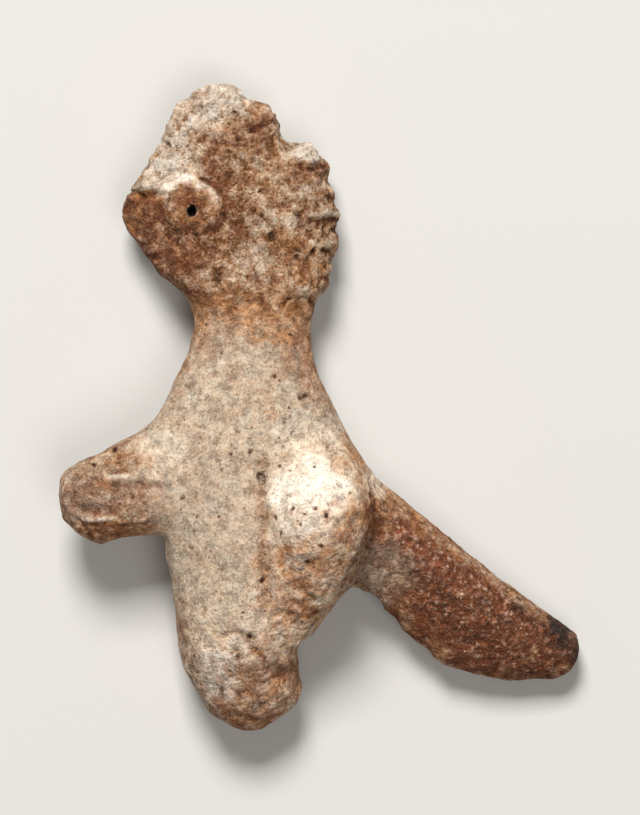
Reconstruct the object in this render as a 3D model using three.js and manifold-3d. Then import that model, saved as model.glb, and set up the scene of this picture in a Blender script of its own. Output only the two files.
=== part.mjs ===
/*
 * Idol figurine, modelled by hand in one lump of fired clay and broken long ago.
 * It lies on its back: +X is to the right of someone looking down on it, +Y is towards
 * the crest and +Z is up. Lengths are in millimetres.
 *
 * The body is one free form. Each limb is a chain of oval sections, the head is a flat
 * fan with a notched rim, and soft unions join them as thumbed clay does. The surface
 * is drawn over a grid. Then the eyes are pressed on and pricked, and the back is worn
 * flat where it lies.
 */
import * as THREE from 'three';
import { mergeVertices } from 'three/addons/utils/BufferGeometryUtils.js';
import Module from 'manifold-3d';

// Driving size: from the broken foot to the broken crest.
const HEIGHT = 120;

// One hundredth of the height. The pose, proportions and carving are shares of it.
const PART = HEIGHT / 100;

// Each eye is a pressed-on disc with a raised rim and a pricked pupil. Its foot is pressed
// into the head, and its root goes on down to where the head falls away under it.
const EYE_RADIUS = 5.7;
const EYE_HEIGHT = 1.8;
const EYE_PRESS = 0.9;
const EYE_ROOT = 3.0;
const EYE_RIM_RADIUS = 1.0;
const EYE_DISH = 0.7;
const PUPIL_RADIUS = 1.1;
const PUPIL_DEPTH = 4.0;
const PUPIL_TAPER = 0.7;

// The crest's rim is pinched into notches, and each tooth runs in as a low rib.
const NOTCH_COUNT = 24;
const NOTCH_TURN = 3;
const NOTCH_DEPTH = 1.0;
const NOTCH_RIB = 0.7;

// The clay wears flat where the figure lies.
const REST_WEAR = 0.5;

// Spacing of the grid that the surface is drawn over. The head has the finest steps.
const HEAD_STEP = 1.75;
const BODY_STEP = 2.6;
const DEPTH_STEP = 2.1;
const GRID_MARGIN = 3;
const CREVICE_FILL = 0.2;

// Sides of the round cuts and discs, steps over an eye's rim, and stretches to a station.
const EYE_SIDES = 28;
const PUPIL_SIDES = 14;
const RIM_STEPS = 4;
const LIMB_STEPS = 3;

const CLAY = new THREE.MeshStandardMaterial({ color: 0xb8906f, roughness: 0.92, metalness: 0 });

// Each limb is a row of sections: centre x, y, z, half width and half depth, in parts of
// the height. Roll turns the sections about the limb, in degrees. Lean thickens one edge
// and thins the other. Fullness squares a section off, and cap is how far the ends swell.
const TORSO = {
  roll: 0,
  lean: 0,
  fullness: 2.2,
  cap: 1,
  stations: [
    [-10.3, 18.0, 7.8, 9.9, 5.2],
    [-10.5, 9.8, 7.9, 9.0, 5.5],
    [-11.1, 2.1, 8.9, 11.5, 7.3],
    [-11.2, -4.1, 9.5, 13.9, 8.6],
    [-10.0, -10.2, 9.9, 15.0, 9.5],
    [-9.8, -19.5, 9.9, 14.4, 9.9],
    [-10.2, -25.7, 9.7, 12.9, 9.7],
    [-11.7, -31.8, 9.3, 11.0, 9.2],
    [-13.0, -38.0, 8.8, 8.4, 8.3],
    [-11.3, -43.0, 8.2, 7.2, 6.6],
    [-9.9, -45.4, 7.8, 6.0, 4.8],
  ],
};
const BOSOM = {
  roll: 0,
  lean: 0,
  fullness: 2.1,
  cap: 1,
  stations: [
    [0.2, -12.0, 12.2, 6.8, 6.2],
    [0.2, -14.5, 14.4, 8.2, 8.6],
    [0.0, -18.0, 15.0, 8.5, 9.2],
    [-1.0, -24.0, 13.2, 7.2, 8.2],
    [-3.9, -31.0, 11.2, 4.4, 6.2],
    [-7.1, -37.0, 9.4, 3.8, 5.0],
  ],
};
const SHORT_ARM = {
  roll: 0,
  lean: 0,
  fullness: 2.3,
  cap: 0.55,
  stations: [
    [-18.0, -8.4, 10.3, 9.4, 7.8],
    [-23.8, -11.6, 10.9, 8.0, 7.2],
    [-30.0, -13.1, 11.8, 7.4, 6.6],
    [-35.0, -14.7, 12.5, 6.3, 6.0],
    [-37.4, -14.9, 12.8, 5.4, 5.2],
  ],
};
const LONG_ARM = {
  roll: 12,
  lean: 0.25,
  fullness: 2.6,
  cap: 0.7,
  stations: [
    [0.5, -13.4, 9.4, 7.2, 6.2],
    [4.2, -17.2, 8.9, 7.3, 6.0],
    [11.1, -23.4, 7.9, 7.4, 5.6],
    [18.1, -29.5, 6.8, 7.8, 5.2],
    [24.3, -34.1, 5.8, 7.8, 4.9],
    [30.1, -36.8, 4.8, 6.7, 4.6],
    [37.1, -38.7, 4.0, 4.2, 4.0],
  ],
};
const FOOT_LOBE = {
  roll: 0,
  lean: 0,
  fullness: 2,
  cap: 1,
  stations: [
    [-7.6, -40.8, 8.2, 3.6, 4.6],
    [-5.8, -43.6, 7.8, 2.8, 3.8],
  ],
};

// The fan's rim, as angle in degrees and reach from the fan's centre. The dip is a lost corner.
const FAN_CENTRE = [-13.0, 30.4];
const FAN_RIM = [
  [-90, 13.9],
  [-60, 15.8],
  [-45, 18.3],
  [-30, 17.4],
  [-15, 16.2],
  [0, 15.6],
  [25, 15.0],
  [40, 15.2],
  [56, 12.9],
  [66, 14.9],
  [80, 16.8],
  [98, 19.2],
  [115, 18.1],
  [134, 15.9],
  [150, 15.1],
  [166, 15.8],
  [184, 16.9],
  [205, 15.9],
  [225, 15.5],
  [245, 15.6],
];
const FAN_MIDDLE_Z = 7.4;
const FAN_THICK = 6.5;
const FAN_THIN = 3.2;
const FAN_ROUND = 2.6;

// A shallow groove down the middle of the fan.
const GROOVE_X = -13.4;
const GROOVE_WIDTH = 2.2;
const GROOVE_DEPTH = 0.8;

const EYE_AT = [-19.4, 30.8];
const NOSE_AT = [-26.3, 30.7];
const NOSE_SIZE = [3.9, 3.6, 5.4];

// Softness of the joins, in millimetres.
const SHOULDER_JOIN = 4.5;
const BOSOM_JOIN = 2.2;
const ARM_JOIN = 2.0;
const CHIN_JOIN = 3.0;
const CREASE_JOIN = 1.4;

const { clamp, degToRad, euclideanModulo, lerp, radToDeg, smoothstep } = THREE.MathUtils;

// Joins two distances softly over a width.
function join(a, b, width) {
  const overlap = Math.max(width - Math.abs(a - b), 0) / width;
  return Math.min(a, b) - (overlap * overlap * width) / 4;
}

// Keeps what two distances share, with the edge rounded over a width.
function common(a, b, width) {
  return -join(-a, -b, width);
}

// A limb is a row of oval sections. Curves through the stations give the sections between.
function limb({ stations, roll, lean, fullness, cap }) {
  const sized = stations.map((row) => row.map((value) => value * PART));
  const path = new THREE.CatmullRomCurve3(
    sized.map(([x, y, z]) => new THREE.Vector3(x, y, z)),
    false,
    'centripetal',
  );
  const radii = new THREE.SplineCurve(sized.map((row) => new THREE.Vector2(row[3], row[4])));
  const count = (stations.length - 1) * LIMB_STEPS;
  const sections = [];
  for (let i = 0; i <= count; i++) {
    const { x: width, y: depth } = radii.getPoint(i / count);
    sections.push({ at: path.getPoint(i / count), width, depth });
  }
  const stretches = sections.slice(1).map((end, i) => stretch(sections[i], end, degToRad(roll)));
  return { stretches, lean, fullness, cap };
}

// One stretch of a limb, with its own frame: along, across and through.
function stretch(start, end, roll) {
  const along = end.at.clone().sub(start.at);
  const length = along.length();
  along.divideScalar(length);
  const across = new THREE.Vector3(0, 0, 1).cross(along).normalize();
  across.applyAxisAngle(along, roll);
  const through = along.clone().cross(across);
  return { start, end, along, across, through, length };
}

// Distance from a point to a limb: the least of its stretches.
function limbDistance(point, { stretches, lean, fullness, cap }) {
  let least = Infinity;
  const offset = new THREE.Vector3();
  for (const { start, end, along, across, through, length } of stretches) {
    offset.copy(point).sub(start.at);
    const [reach, side, height] = [offset.dot(along), offset.dot(across), offset.dot(through)];
    const share = clamp(reach / length, 0, 1);
    const width = lerp(start.width, end.width, share);
    const middle = lerp(start.depth, end.depth, share);
    const depth = middle * (1 + lean * clamp(side / width, -1, 1));
    const beyond = reach - share * length;
    const parts = [beyond / (cap * Math.min(width, middle)), side / width, height / depth];
    const size = parts.reduce((sum, part) => sum + Math.abs(part) ** fullness, 0) ** (1 / fullness);
    const radius = Math.hypot(beyond, side, height);
    least = Math.min(least, size > 1e-6 ? radius - radius / size : -Math.min(width, depth));
  }
  return least;
}

// Distance to a plain egg shape.
function eggDistance(point, centre, size) {
  const offset = point.clone().sub(centre);
  const share = offset.clone().divide(size).length();
  return share > 1e-6 ? offset.length() * (1 - 1 / share) : -Math.min(...size.toArray());
}

// Reach of the fan's smooth rim at an angle, read round a closed curve.
function rimReach(angle) {
  const count = FAN_RIM.length;
  const first = FAN_RIM[0][0];
  const turned = first + euclideanModulo(angle - first, 360);
  const i = FAN_RIM.findLastIndex(([at]) => at <= turned);
  const station = (k) => {
    const [at, reach] = FAN_RIM[euclideanModulo(k, count)];
    return { at: at + 360 * Math.floor(k / count), reach };
  };
  const [before, low, high, after] = [-1, 0, 1, 2].map((k) => station(i + k));
  const share = (turned - low.at) / (high.at - low.at);
  const slope = (a, b) => ((b.reach - a.reach) / (b.at - a.at)) * (high.at - low.at);
  const [rise, fall] = [slope(before, high), slope(low, after)];
  const [s2, s3] = [share * share, share * share * share];
  return (
    (2 * s3 - 3 * s2 + 1) * low.reach +
    (s3 - 2 * s2 + share) * rise +
    (3 * s2 - 2 * s3) * high.reach +
    (s3 - s2) * fall
  );
}

// The rim's teeth: 1 at a tooth and 0 between. There are none under the chin.
function tooth(angle) {
  const pitch = 360 / NOTCH_COUNT;
  const phase = euclideanModulo(angle + NOTCH_TURN + pitch / 2, pitch) / pitch;
  const wave = 1 - Math.abs(2 * phase - 1);
  const above = smoothstep(Math.sin(degToRad(angle - 10)), -0.75, -0.45);
  return wave * above;
}

const FAN = {
  centre: new THREE.Vector2(...FAN_CENTRE).multiplyScalar(PART),
  middle: FAN_MIDDLE_Z * PART,
};
const EYE = new THREE.Vector2(...EYE_AT).multiplyScalar(PART);
const EYE_FOOT = FAN_THICK * PART - EYE_PRESS;

// The head's half thickness at a place. It has a groove, ribs and a rim that is thin
// everywhere but under the chin.
function fanThickness(x, share, angle, notch) {
  const above = smoothstep(Math.sin(degToRad(angle)), -0.95, -0.4);
  const dome = lerp(FAN_THICK, FAN_THIN, above * share ** 2.4) * PART;
  const groove = Math.exp(-(((x / PART - GROOVE_X) / GROOVE_WIDTH) ** 2));
  const rib = NOTCH_RIB * notch * smoothstep(share, 0.72, 0.95);
  return dome - GROOVE_DEPTH * PART * groove * (1 - share) + rib;
}

// The flat fan of the head, without its eyes.
function fanDistance(point) {
  const [dx, dy] = [point.x - FAN.centre.x, point.y - FAN.centre.y];
  const angle = radToDeg(Math.atan2(dy, dx));
  const notch = tooth(angle);
  const reach = rimReach(angle) * PART + NOTCH_DEPTH * (notch - 0.35);
  const radius = Math.hypot(dx, dy);
  const share = Math.min(radius / reach, 1);
  const thickness = fanThickness(point.x, share, angle, notch);
  return common(radius - reach, Math.abs(point.z - FAN.middle) - thickness, FAN_ROUND * PART);
}

const LIMBS = {
  torso: limb(TORSO),
  bosom: limb(BOSOM),
  shortArm: limb(SHORT_ARM),
  longArm: limb(LONG_ARM),
  footLobe: limb(FOOT_LOBE),
};
const NOSE = {
  centre: new THREE.Vector3(...NOSE_AT, FAN_MIDDLE_Z).multiplyScalar(PART),
  size: new THREE.Vector3(...NOSE_SIZE).multiplyScalar(PART),
};

// The whole figurine but for its eyes: negative inside the clay.
function figurineDistance(point) {
  let clay = limbDistance(point, LIMBS.torso);
  clay = join(clay, limbDistance(point, LIMBS.longArm), SHOULDER_JOIN);
  clay = join(clay, limbDistance(point, LIMBS.shortArm), ARM_JOIN);
  clay = join(clay, limbDistance(point, LIMBS.bosom), BOSOM_JOIN);
  clay = join(clay, limbDistance(point, LIMBS.footLobe), CREASE_JOIN);
  const nose = eggDistance(point, NOSE.centre, NOSE.size);
  return join(clay, join(fanDistance(point), nose, CREASE_JOIN), CHIN_JOIN);
}

// Grid lines from a start through zones, each with its own end and step.
function gridLines(start, ...zones) {
  const lines = [start];
  for (const [end, step] of zones) {
    const from = lines.at(-1);
    const count = Math.ceil((end - from) / step);
    for (let i = 1; i <= count; i++) lines.push(lerp(from, end, i / count));
  }
  return lines;
}

// Where two corners of a grid square are inside and the two between them are outside, two
// surfaces would share an edge. The nearer outside corner is filled with clay instead.
function fillCrevices(values, nx, ny) {
  const [alongX, alongY, alongZ] = [1, nx, nx * ny];
  const squares = [[alongX, alongY], [alongY, alongZ], [alongZ, alongX]];
  let filled = true;
  while (filled) {
    filled = false;
    for (let p = 0; p + alongX + alongY + alongZ < values.length; p++)
      for (const [u, v] of squares) {
        const [near, far] = [[p, p + u + v], [p + u, p + v]];
        const [a, c, b, d] = [...near, ...far].map((q) => values[q] < 0);
        if (a !== c || b !== d || a === b) continue;
        const [first, second] = a ? far : near;
        const nearer = values[first] < values[second] ? first : second;
        values[nearer] = -Math.max(values[nearer], CREVICE_FILL);
        filled = true;
      }
  }
}

// Draws the surface where the field is zero: a vertex in each crossed cell and a face
// round each crossed grid edge.
function skin(field, xs, ys, zs) {
  const [nx, ny, nz] = [xs.length, ys.length, zs.length];
  const index = (i, j, k) => (k * ny + j) * nx + i;
  const values = new Float64Array(nx * ny * nz);
  const point = new THREE.Vector3();
  for (let k = 0; k < nz; k++)
    for (let j = 0; j < ny; j++)
      for (let i = 0; i < nx; i++)
        values[index(i, j, k)] = field(point.set(xs[i], ys[j], zs[k]));
  fillCrevices(values, nx, ny);

  const corners = [0, 1, 2, 3, 4, 5, 6, 7].map((c) => [c & 1, (c >> 1) & 1, c >> 2]);
  const edges = corners.flatMap((a, m) =>
    [1, 2, 4].filter((bit) => !(m & bit)).map((bit) => [a, corners[m | bit]]),
  );
  const positions = [];
  const cellVertex = new Map();
  const vertexOf = (i, j, k) => {
    const key = index(i, j, k);
    if (cellVertex.has(key)) return cellVertex.get(key);
    const sum = new THREE.Vector3();
    let crossings = 0;
    for (const [a, b] of edges) {
      const va = values[index(i + a[0], j + a[1], k + a[2])];
      const vb = values[index(i + b[0], j + b[1], k + b[2])];
      if (va < 0 === vb < 0) continue;
      const share = va / (va - vb);
      sum.x += lerp(xs[i + a[0]], xs[i + b[0]], share);
      sum.y += lerp(ys[j + a[1]], ys[j + b[1]], share);
      sum.z += lerp(zs[k + a[2]], zs[k + b[2]], share);
      crossings++;
    }
    sum.divideScalar(crossings);
    cellVertex.set(key, positions.length / 3);
    positions.push(sum.x, sum.y, sum.z);
    return cellVertex.get(key);
  };

  const faces = [];
  const addFace = (ring, inward) => {
    const [a, b, c, d] = inward ? ring.slice().reverse() : ring;
    const at = (v) => new THREE.Vector3(...positions.slice(3 * v, 3 * v + 3));
    if (at(a).distanceTo(at(c)) < at(b).distanceTo(at(d))) faces.push(a, b, c, a, c, d);
    else faces.push(b, c, d, b, d, a);
  };
  for (let k = 1; k < nz - 1; k++)
    for (let j = 1; j < ny - 1; j++)
      for (let i = 1; i < nx - 1; i++) {
        const inside = values[index(i, j, k)] < 0;
        const rings = [
          [i + 1, j, k, [[i, j - 1, k - 1], [i, j, k - 1], [i, j, k], [i, j - 1, k]]],
          [i, j + 1, k, [[i - 1, j, k - 1], [i - 1, j, k], [i, j, k], [i, j, k - 1]]],
          [i, j, k + 1, [[i - 1, j - 1, k], [i, j - 1, k], [i, j, k], [i - 1, j, k]]],
        ];
        for (const [a, b, c, cells] of rings) {
          if (values[index(a, b, c)] < 0 === inside) continue;
          addFace(cells.map((cell) => vertexOf(...cell)), !inside);
        }
      }
  const geometry = new THREE.BufferGeometry();
  geometry.setAttribute('position', new THREE.Float32BufferAttribute(positions, 3));
  geometry.setIndex(faces);
  return geometry;
}

const wasm = await Module();
wasm.setup();

function toSolid(geometry) {
  const bare = geometry.clone();
  bare.deleteAttribute('normal');
  bare.deleteAttribute('uv');
  const merged = mergeVertices(bare, 1e-4);
  return new wasm.Manifold(
    new wasm.Mesh({
      numProp: 3,
      vertProperties: new Float32Array(merged.attributes.position.array),
      triVerts: new Uint32Array(merged.index.array),
    }),
  );
}

function toGeometry(solid) {
  const mesh = solid.getMesh();
  const geometry = new THREE.BufferGeometry();
  geometry.setAttribute('position', new THREE.BufferAttribute(mesh.vertProperties, 3));
  geometry.setIndex(new THREE.BufferAttribute(mesh.triVerts, 1));
  return geometry;
}

// Turns a shape made along Y so that it stands on the head's face. Side is 1 on top, -1 below.
function placeOnFace(geometry, side) {
  geometry.rotateX((side * Math.PI) / 2);
  geometry.translate(EYE.x, EYE.y, FAN.middle + side * EYE_FOOT);
  return toSolid(geometry);
}

// A pressed-on eye: a disc with a round rim and a dished middle.
function eyeDisc(side) {
  const ring = new THREE.Vector2(EYE_RADIUS - EYE_RIM_RADIUS, EYE_HEIGHT - EYE_RIM_RADIUS);
  const lastTurn = Math.PI - Math.asin(clamp(1 - EYE_DISH / EYE_RIM_RADIUS, 0, 1));
  const profile = [new THREE.Vector2(0, -EYE_ROOT), new THREE.Vector2(EYE_RADIUS, -EYE_ROOT)];
  for (let i = 0; i <= RIM_STEPS; i++) {
    const turn = (lastTurn * i) / RIM_STEPS;
    const rim = new THREE.Vector2(Math.cos(turn), Math.sin(turn));
    profile.push(rim.multiplyScalar(EYE_RIM_RADIUS).add(ring));
  }
  profile.push(new THREE.Vector2(0, EYE_HEIGHT - EYE_DISH));
  return placeOnFace(new THREE.LatheGeometry(profile, EYE_SIDES), side);
}

// A pupil is a hole pricked straight into the dished middle. The cutter stands clear above.
function pupilHole(side) {
  const length = PUPIL_DEPTH + EYE_HEIGHT;
  const tip = PUPIL_RADIUS * PUPIL_TAPER;
  const hole = new THREE.CylinderGeometry(PUPIL_RADIUS, tip, length, PUPIL_SIDES);
  hole.translate(0, EYE_HEIGHT - EYE_DISH - PUPIL_DEPTH + length / 2, 0);
  return placeOnFace(hole, side);
}

// Everything under the plane that the worn back rests on.
function groundBlock(level) {
  const block = new THREE.BoxGeometry(4 * HEIGHT, 4 * HEIGHT, HEIGHT);
  block.translate(0, 0, level - HEIGHT / 2);
  return toSolid(block);
}

// The box that holds the head's fan, and the one that holds the whole form.
function headBounds() {
  const reach = Math.max(...FAN_RIM.map(([, share]) => share * PART)) + NOTCH_DEPTH;
  const thickness = FAN_THICK * PART + NOTCH_RIB;
  return new THREE.Box3(
    new THREE.Vector3(FAN.centre.x - reach, FAN.centre.y - reach, FAN.middle - thickness),
    new THREE.Vector3(FAN.centre.x + reach, FAN.centre.y + reach, FAN.middle + thickness),
  );
}

function formBounds() {
  const bounds = headBounds();
  bounds.expandByPoint(NOSE.centre.clone().add(NOSE.size));
  bounds.expandByPoint(NOSE.centre.clone().sub(NOSE.size));
  for (const { start, end } of Object.values(LIMBS).flatMap(({ stretches }) => stretches))
    for (const { at, width, depth } of [start, end]) {
      const sides = new THREE.Vector3().setScalar(2 * Math.max(width, depth));
      bounds.union(new THREE.Box3().setFromCenterAndSize(at, sides));
    }
  return bounds.expandByScalar(GRID_MARGIN);
}

// The grid's lines. They are closest in the columns and rows that the head takes up.
function figurineGrid() {
  const head = headBounds();
  const { min, max } = formBounds();
  return [
    gridLines(min.x, [head.max.x, HEAD_STEP], [max.x, BODY_STEP]),
    gridLines(min.y, [head.min.y, BODY_STEP], [max.y, HEAD_STEP]),
    gridLines(min.z, [max.z, DEPTH_STEP]),
  ];
}

function figurineGeometry() {
  let solid = toSolid(skin(figurineDistance, ...figurineGrid()));
  for (const side of [1, -1]) solid = solid.add(eyeDisc(side)).subtract(pupilHole(side));
  solid = solid.subtract(groundBlock(solid.boundingBox().min[2] + REST_WEAR));
  const geometry = toGeometry(solid);
  geometry.computeBoundingBox();
  const { min, max } = geometry.boundingBox;
  geometry.translate(-(min.x + max.x) / 2, -(min.y + max.y) / 2, -min.z);
  geometry.computeVertexNormals();
  return geometry;
}

const figurine = new THREE.Mesh(figurineGeometry(), CLAY);
figurine.name = 'figurine';

const part = new THREE.Group();
part.add(figurine);

export default part;
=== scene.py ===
"""Dresses a fired clay idol figurine that lies on its back on a pale studio floor.

Places on the figurine are given in the photograph's pixels, depths in millimetres, and
PhotoScale turns both into metres in the frame.
"""

import logging
from collections.abc import Callable
from dataclasses import dataclass
from enum import Enum

import bmesh
import bpy
import numpy as np
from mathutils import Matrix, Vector, noise


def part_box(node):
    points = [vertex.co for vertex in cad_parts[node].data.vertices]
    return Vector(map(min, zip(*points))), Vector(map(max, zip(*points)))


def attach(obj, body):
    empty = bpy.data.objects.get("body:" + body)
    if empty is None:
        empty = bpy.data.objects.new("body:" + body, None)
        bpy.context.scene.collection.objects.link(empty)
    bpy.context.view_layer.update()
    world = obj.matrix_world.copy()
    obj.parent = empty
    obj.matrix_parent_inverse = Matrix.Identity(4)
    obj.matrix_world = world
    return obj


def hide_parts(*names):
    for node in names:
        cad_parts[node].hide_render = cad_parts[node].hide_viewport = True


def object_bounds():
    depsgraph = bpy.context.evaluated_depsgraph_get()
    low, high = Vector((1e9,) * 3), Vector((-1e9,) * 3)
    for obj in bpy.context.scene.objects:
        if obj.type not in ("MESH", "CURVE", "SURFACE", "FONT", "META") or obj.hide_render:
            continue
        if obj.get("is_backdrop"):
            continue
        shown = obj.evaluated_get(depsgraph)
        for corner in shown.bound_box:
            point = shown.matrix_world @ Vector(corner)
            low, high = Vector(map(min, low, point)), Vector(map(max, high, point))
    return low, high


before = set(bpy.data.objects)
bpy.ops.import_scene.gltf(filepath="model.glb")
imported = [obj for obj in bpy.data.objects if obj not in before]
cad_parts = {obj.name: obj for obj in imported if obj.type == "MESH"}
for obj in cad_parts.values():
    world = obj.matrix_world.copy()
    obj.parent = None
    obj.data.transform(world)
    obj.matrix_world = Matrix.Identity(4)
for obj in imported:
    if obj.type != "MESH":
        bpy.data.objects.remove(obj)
CAD_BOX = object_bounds()

LOG = logging.getLogger("figurine")
NODE = "figurine"
LOW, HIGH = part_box(NODE)
BODY = "root"
MM = 0.001
TINY = 1e-9

Field = np.ndarray
Place = tuple[float, float]
Path = tuple[Place, ...]
Colour = tuple[int, int, int]
Light = tuple[float, float, float, float]


class Coat(Enum):
    """What covers the clay, as the name of a point attribute from 0 to 1."""

    # Pale slip, which also paints highlights on lit lips, ridges, facets and bands.
    SLIP = "slip"
    LILAC = "lilac"
    OCHRE = "ochre"
    RED = "red"
    GRIT = "grit"
    # Soot on the arm's tip, which also paints the pupil's shade.
    SOOT = "soot"
    COARSE = "coarse"
    # Grime, which also paints shade in crevices, moats, grooves, hollows and the pupil.
    DIRT = "dirt"
    # Wear on ridges, partly a painted highlight.
    WORN = "worn"


class Side(Enum):
    """Which way a face of the lying figurine looks."""

    FRONT = 1
    BACK = -1


@dataclass(frozen=True)
class PhotoScale:
    """Where the figurine stands in the photograph, in pixels."""

    left: float = 59
    right: float = 580
    top: float = 83
    bottom: float = 732
    width: float = 640
    height: float = 815

    def pixel(self) -> float:
        """Returns the length of one pixel in metres."""
        return (HIGH.y - LOW.y) / (self.bottom - self.top)

    def across(self, x: Field | float) -> Field | float:
        """Returns the photograph's column of a frame x."""
        return self.left + (x - LOW.x) / (HIGH.x - LOW.x) * (self.right - self.left)

    def down(self, y: Field | float) -> Field | float:
        """Returns the photograph's row of a frame y."""
        return self.top + (HIGH.y - y) / (HIGH.y - LOW.y) * (self.bottom - self.top)

    def place(self, x: float, y: float, z: float = 0) -> Vector:
        """Finds a point in the frame.

        Args:
            x: Its column in the photograph.
            y: Its row.
            z: Its height in metres.

        Returns:
            The point.
        """
        share = (x - self.left) / (self.right - self.left)
        drop = (y - self.top) / (self.bottom - self.top)
        return Vector((LOW.x + share * (HIGH.x - LOW.x), HIGH.y - drop * (HIGH.y - LOW.y), z))


PHOTO = PhotoScale()


def smooth_step(low: float, high: float, value: Field) -> Field:
    """Eases a value from 0 at low to 1 at high.

    Args:
        low: Where the result starts to rise.
        high: Where it reaches 1.
        value: The values to ease.

    Returns:
        The eased values.
    """
    share = np.clip((value - low) / (high - low), 0, 1)
    return share * share * (3 - 2 * share)


def bell(distance: Field, width: float) -> Field:
    """Returns a bump that is 1 at no distance and fades over width."""
    return np.exp(-((distance / width) ** 2))


class Clay:
    """The figurine's clay as points that are pressed and stained in numpy."""

    edge_fade: Place = (-0.1, 0.25)
    fractal_fall: float = 0.9
    fractal_gap: float = 2.1

    def __init__(self, mesh: bpy.types.Mesh) -> None:
        """Reads a mesh.

        Args:
            mesh: The clay's mesh, in metres in the frame.
        """
        self.mesh = mesh
        self.count = len(mesh.vertices)
        self.points = np.empty((self.count, 3))
        self.normals = np.empty((self.count, 3))
        edges = np.empty(len(mesh.edges) * 2, np.int32)
        mesh.edges.foreach_get("vertices", edges)
        self.starts, self.ends = edges.reshape(-1, 2).T
        self.degrees = np.bincount(edges, minlength=self.count).astype(float)
        flat = np.empty(self.count * 3, np.float32)
        mesh.vertices.foreach_get("co", flat)
        self.points[:] = flat.reshape(-1, 3)
        self.settle()
        self.coats = {coat: np.zeros(self.count) for coat in Coat}

    def settle(self) -> None:
        """Writes the points to the mesh and reads its new normals and photograph places."""
        self.mesh.vertices.foreach_set("co", self.points.astype(np.float32).ravel())
        self.mesh.update()
        flat = np.empty(self.count * 3, np.float32)
        self.mesh.vertex_normals.foreach_get("vector", flat)
        self.normals[:] = flat.reshape(-1, 3)
        self.x = PHOTO.across(self.points[:, 0])
        self.y = PHOTO.down(self.points[:, 1])

    def seen(self, side: Side = Side.FRONT) -> Field:
        """Returns 1 where a point looks to that side, fading out round the edge."""
        return smooth_step(*self.edge_fade, side.value * self.normals[:, 2])

    def neighbours(self, values: Field) -> Field:
        """Averages values over each point's neighbours.

        Args:
            values: One number or one row per point.

        Returns:
            The averages, in the same shape.
        """
        rows = values.reshape(self.count, -1)
        sums = np.empty_like(rows)
        for column in range(rows.shape[1]):
            to_end, to_start = rows[self.starts, column], rows[self.ends, column]
            sums[:, column] = np.bincount(self.ends, to_end, self.count)
            sums[:, column] += np.bincount(self.starts, to_start, self.count)
        return (sums / self.degrees[:, None]).reshape(values.shape)

    def relax(self, rounds: int, pull: float = 0.6, push: float = 0.62) -> None:
        """Evens out facets without shrinking the form.

        Args:
            rounds: How often each point moves towards its neighbours and back.
            pull: The share of the way in.
            push: The share of the way back out.
        """
        for _ in range(rounds):
            self.points += pull * (self.neighbours(self.points) - self.points)
            self.points -= push * (self.neighbours(self.points) - self.points)
        self.settle()

    def press(self, depth: Field) -> None:
        """Moves the points inwards along their normals, by depths in millimetres."""
        self.points -= self.normals * depth[:, None] * MM

    def roughness(self, size: float, octaves: int, seed: float) -> Field:
        """Makes a smooth random field over the clay.

        Args:
            size: The size of its lumps in millimetres.
            octaves: How many finer layers it has.
            seed: Which field it is.

        Returns:
            Values from about -1 to 1.
        """
        shift = Vector((seed, seed * 1.7, -seed))
        places = self.points / (size * MM)
        fall, gap = self.fractal_fall, self.fractal_gap
        values = (noise.fractal(Vector(place) + shift, fall, gap, octaves) for place in places)
        return np.fromiter(values, float, self.count)

    def hollows(self, rounds: int) -> Field:
        """Measures how hollow the clay is at each point.

        Args:
            rounds: How far the measure is spread.

        Returns:
            Millimetres below the neighbours' mean, less than 0 on ridges.
        """
        spread = self.points
        for _ in range(rounds):
            spread = self.neighbours(spread)
        return ((spread - self.points) * self.normals).sum(1) / MM

    def stain(self, coat: Coat, level: float, weight: Field) -> None:
        """Moves a coat towards a level by a weight at each point."""
        self.coats[coat] += (level - self.coats[coat]) * np.clip(weight, 0, 1)

    def finish(self) -> None:
        """Writes the points and the coats to the mesh."""
        self.settle()
        for coat, values in self.coats.items():
            attribute = self.mesh.attributes.new(coat.value, "FLOAT", "POINT")
            attribute.data.foreach_set("value", np.clip(values, 0, 1).astype(np.float32))


@dataclass(frozen=True)
class Line:
    """A line drawn over the photograph, which features follow."""

    path: Path

    def measure(self, clay: Clay) -> Field:
        """Measures how far each point lies from the line.

        Args:
            clay: The clay.

        Returns:
            The distances in pixels, positive on the right of the line's direction.
        """
        nearest = np.full(clay.count, np.inf)
        side = np.ones(clay.count)
        for (x0, y0), (x1, y1) in zip(self.path, self.path[1:]):
            along_x, along_y = x1 - x0, y1 - y0
            length = max(along_x**2 + along_y**2, TINY)
            share = ((clay.x - x0) * along_x + (clay.y - y0) * along_y) / length
            share = np.clip(share, 0, 1)
            gap_x, gap_y = clay.x - x0 - share * along_x, clay.y - y0 - share * along_y
            gap = np.hypot(gap_x, gap_y)
            closer = gap < nearest
            nearest = np.where(closer, gap, nearest)
            cross = along_x * gap_y - along_y * gap_x
            side = np.where(closer, np.where(cross < 0, -1, 1), side)
        return nearest * side


@dataclass(frozen=True)
class Groove:
    """A groove along a line, or a ridge where the depth is below 0."""

    path: Path
    width: float
    depth: float
    dirt: float = 0.0
    dark_width: float = 0.8

    def press(self, clay: Clay, side: Side = Side.FRONT) -> None:
        """Presses the groove and darkens it, with grime in some grooves and painted shade in the crevices
        and shadow lines.

        Args:
            clay: The clay.
            side: The face that it lies on.
        """
        distance = Line(self.path).measure(clay)
        weight = bell(distance, self.width) * clay.seen(side)
        clay.press(self.depth * weight)
        if self.dirt:
            darkened = bell(distance, self.width * self.dark_width)
            clay.stain(Coat.DIRT, 1, self.dirt * darkened * clay.seen(side))


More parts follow.
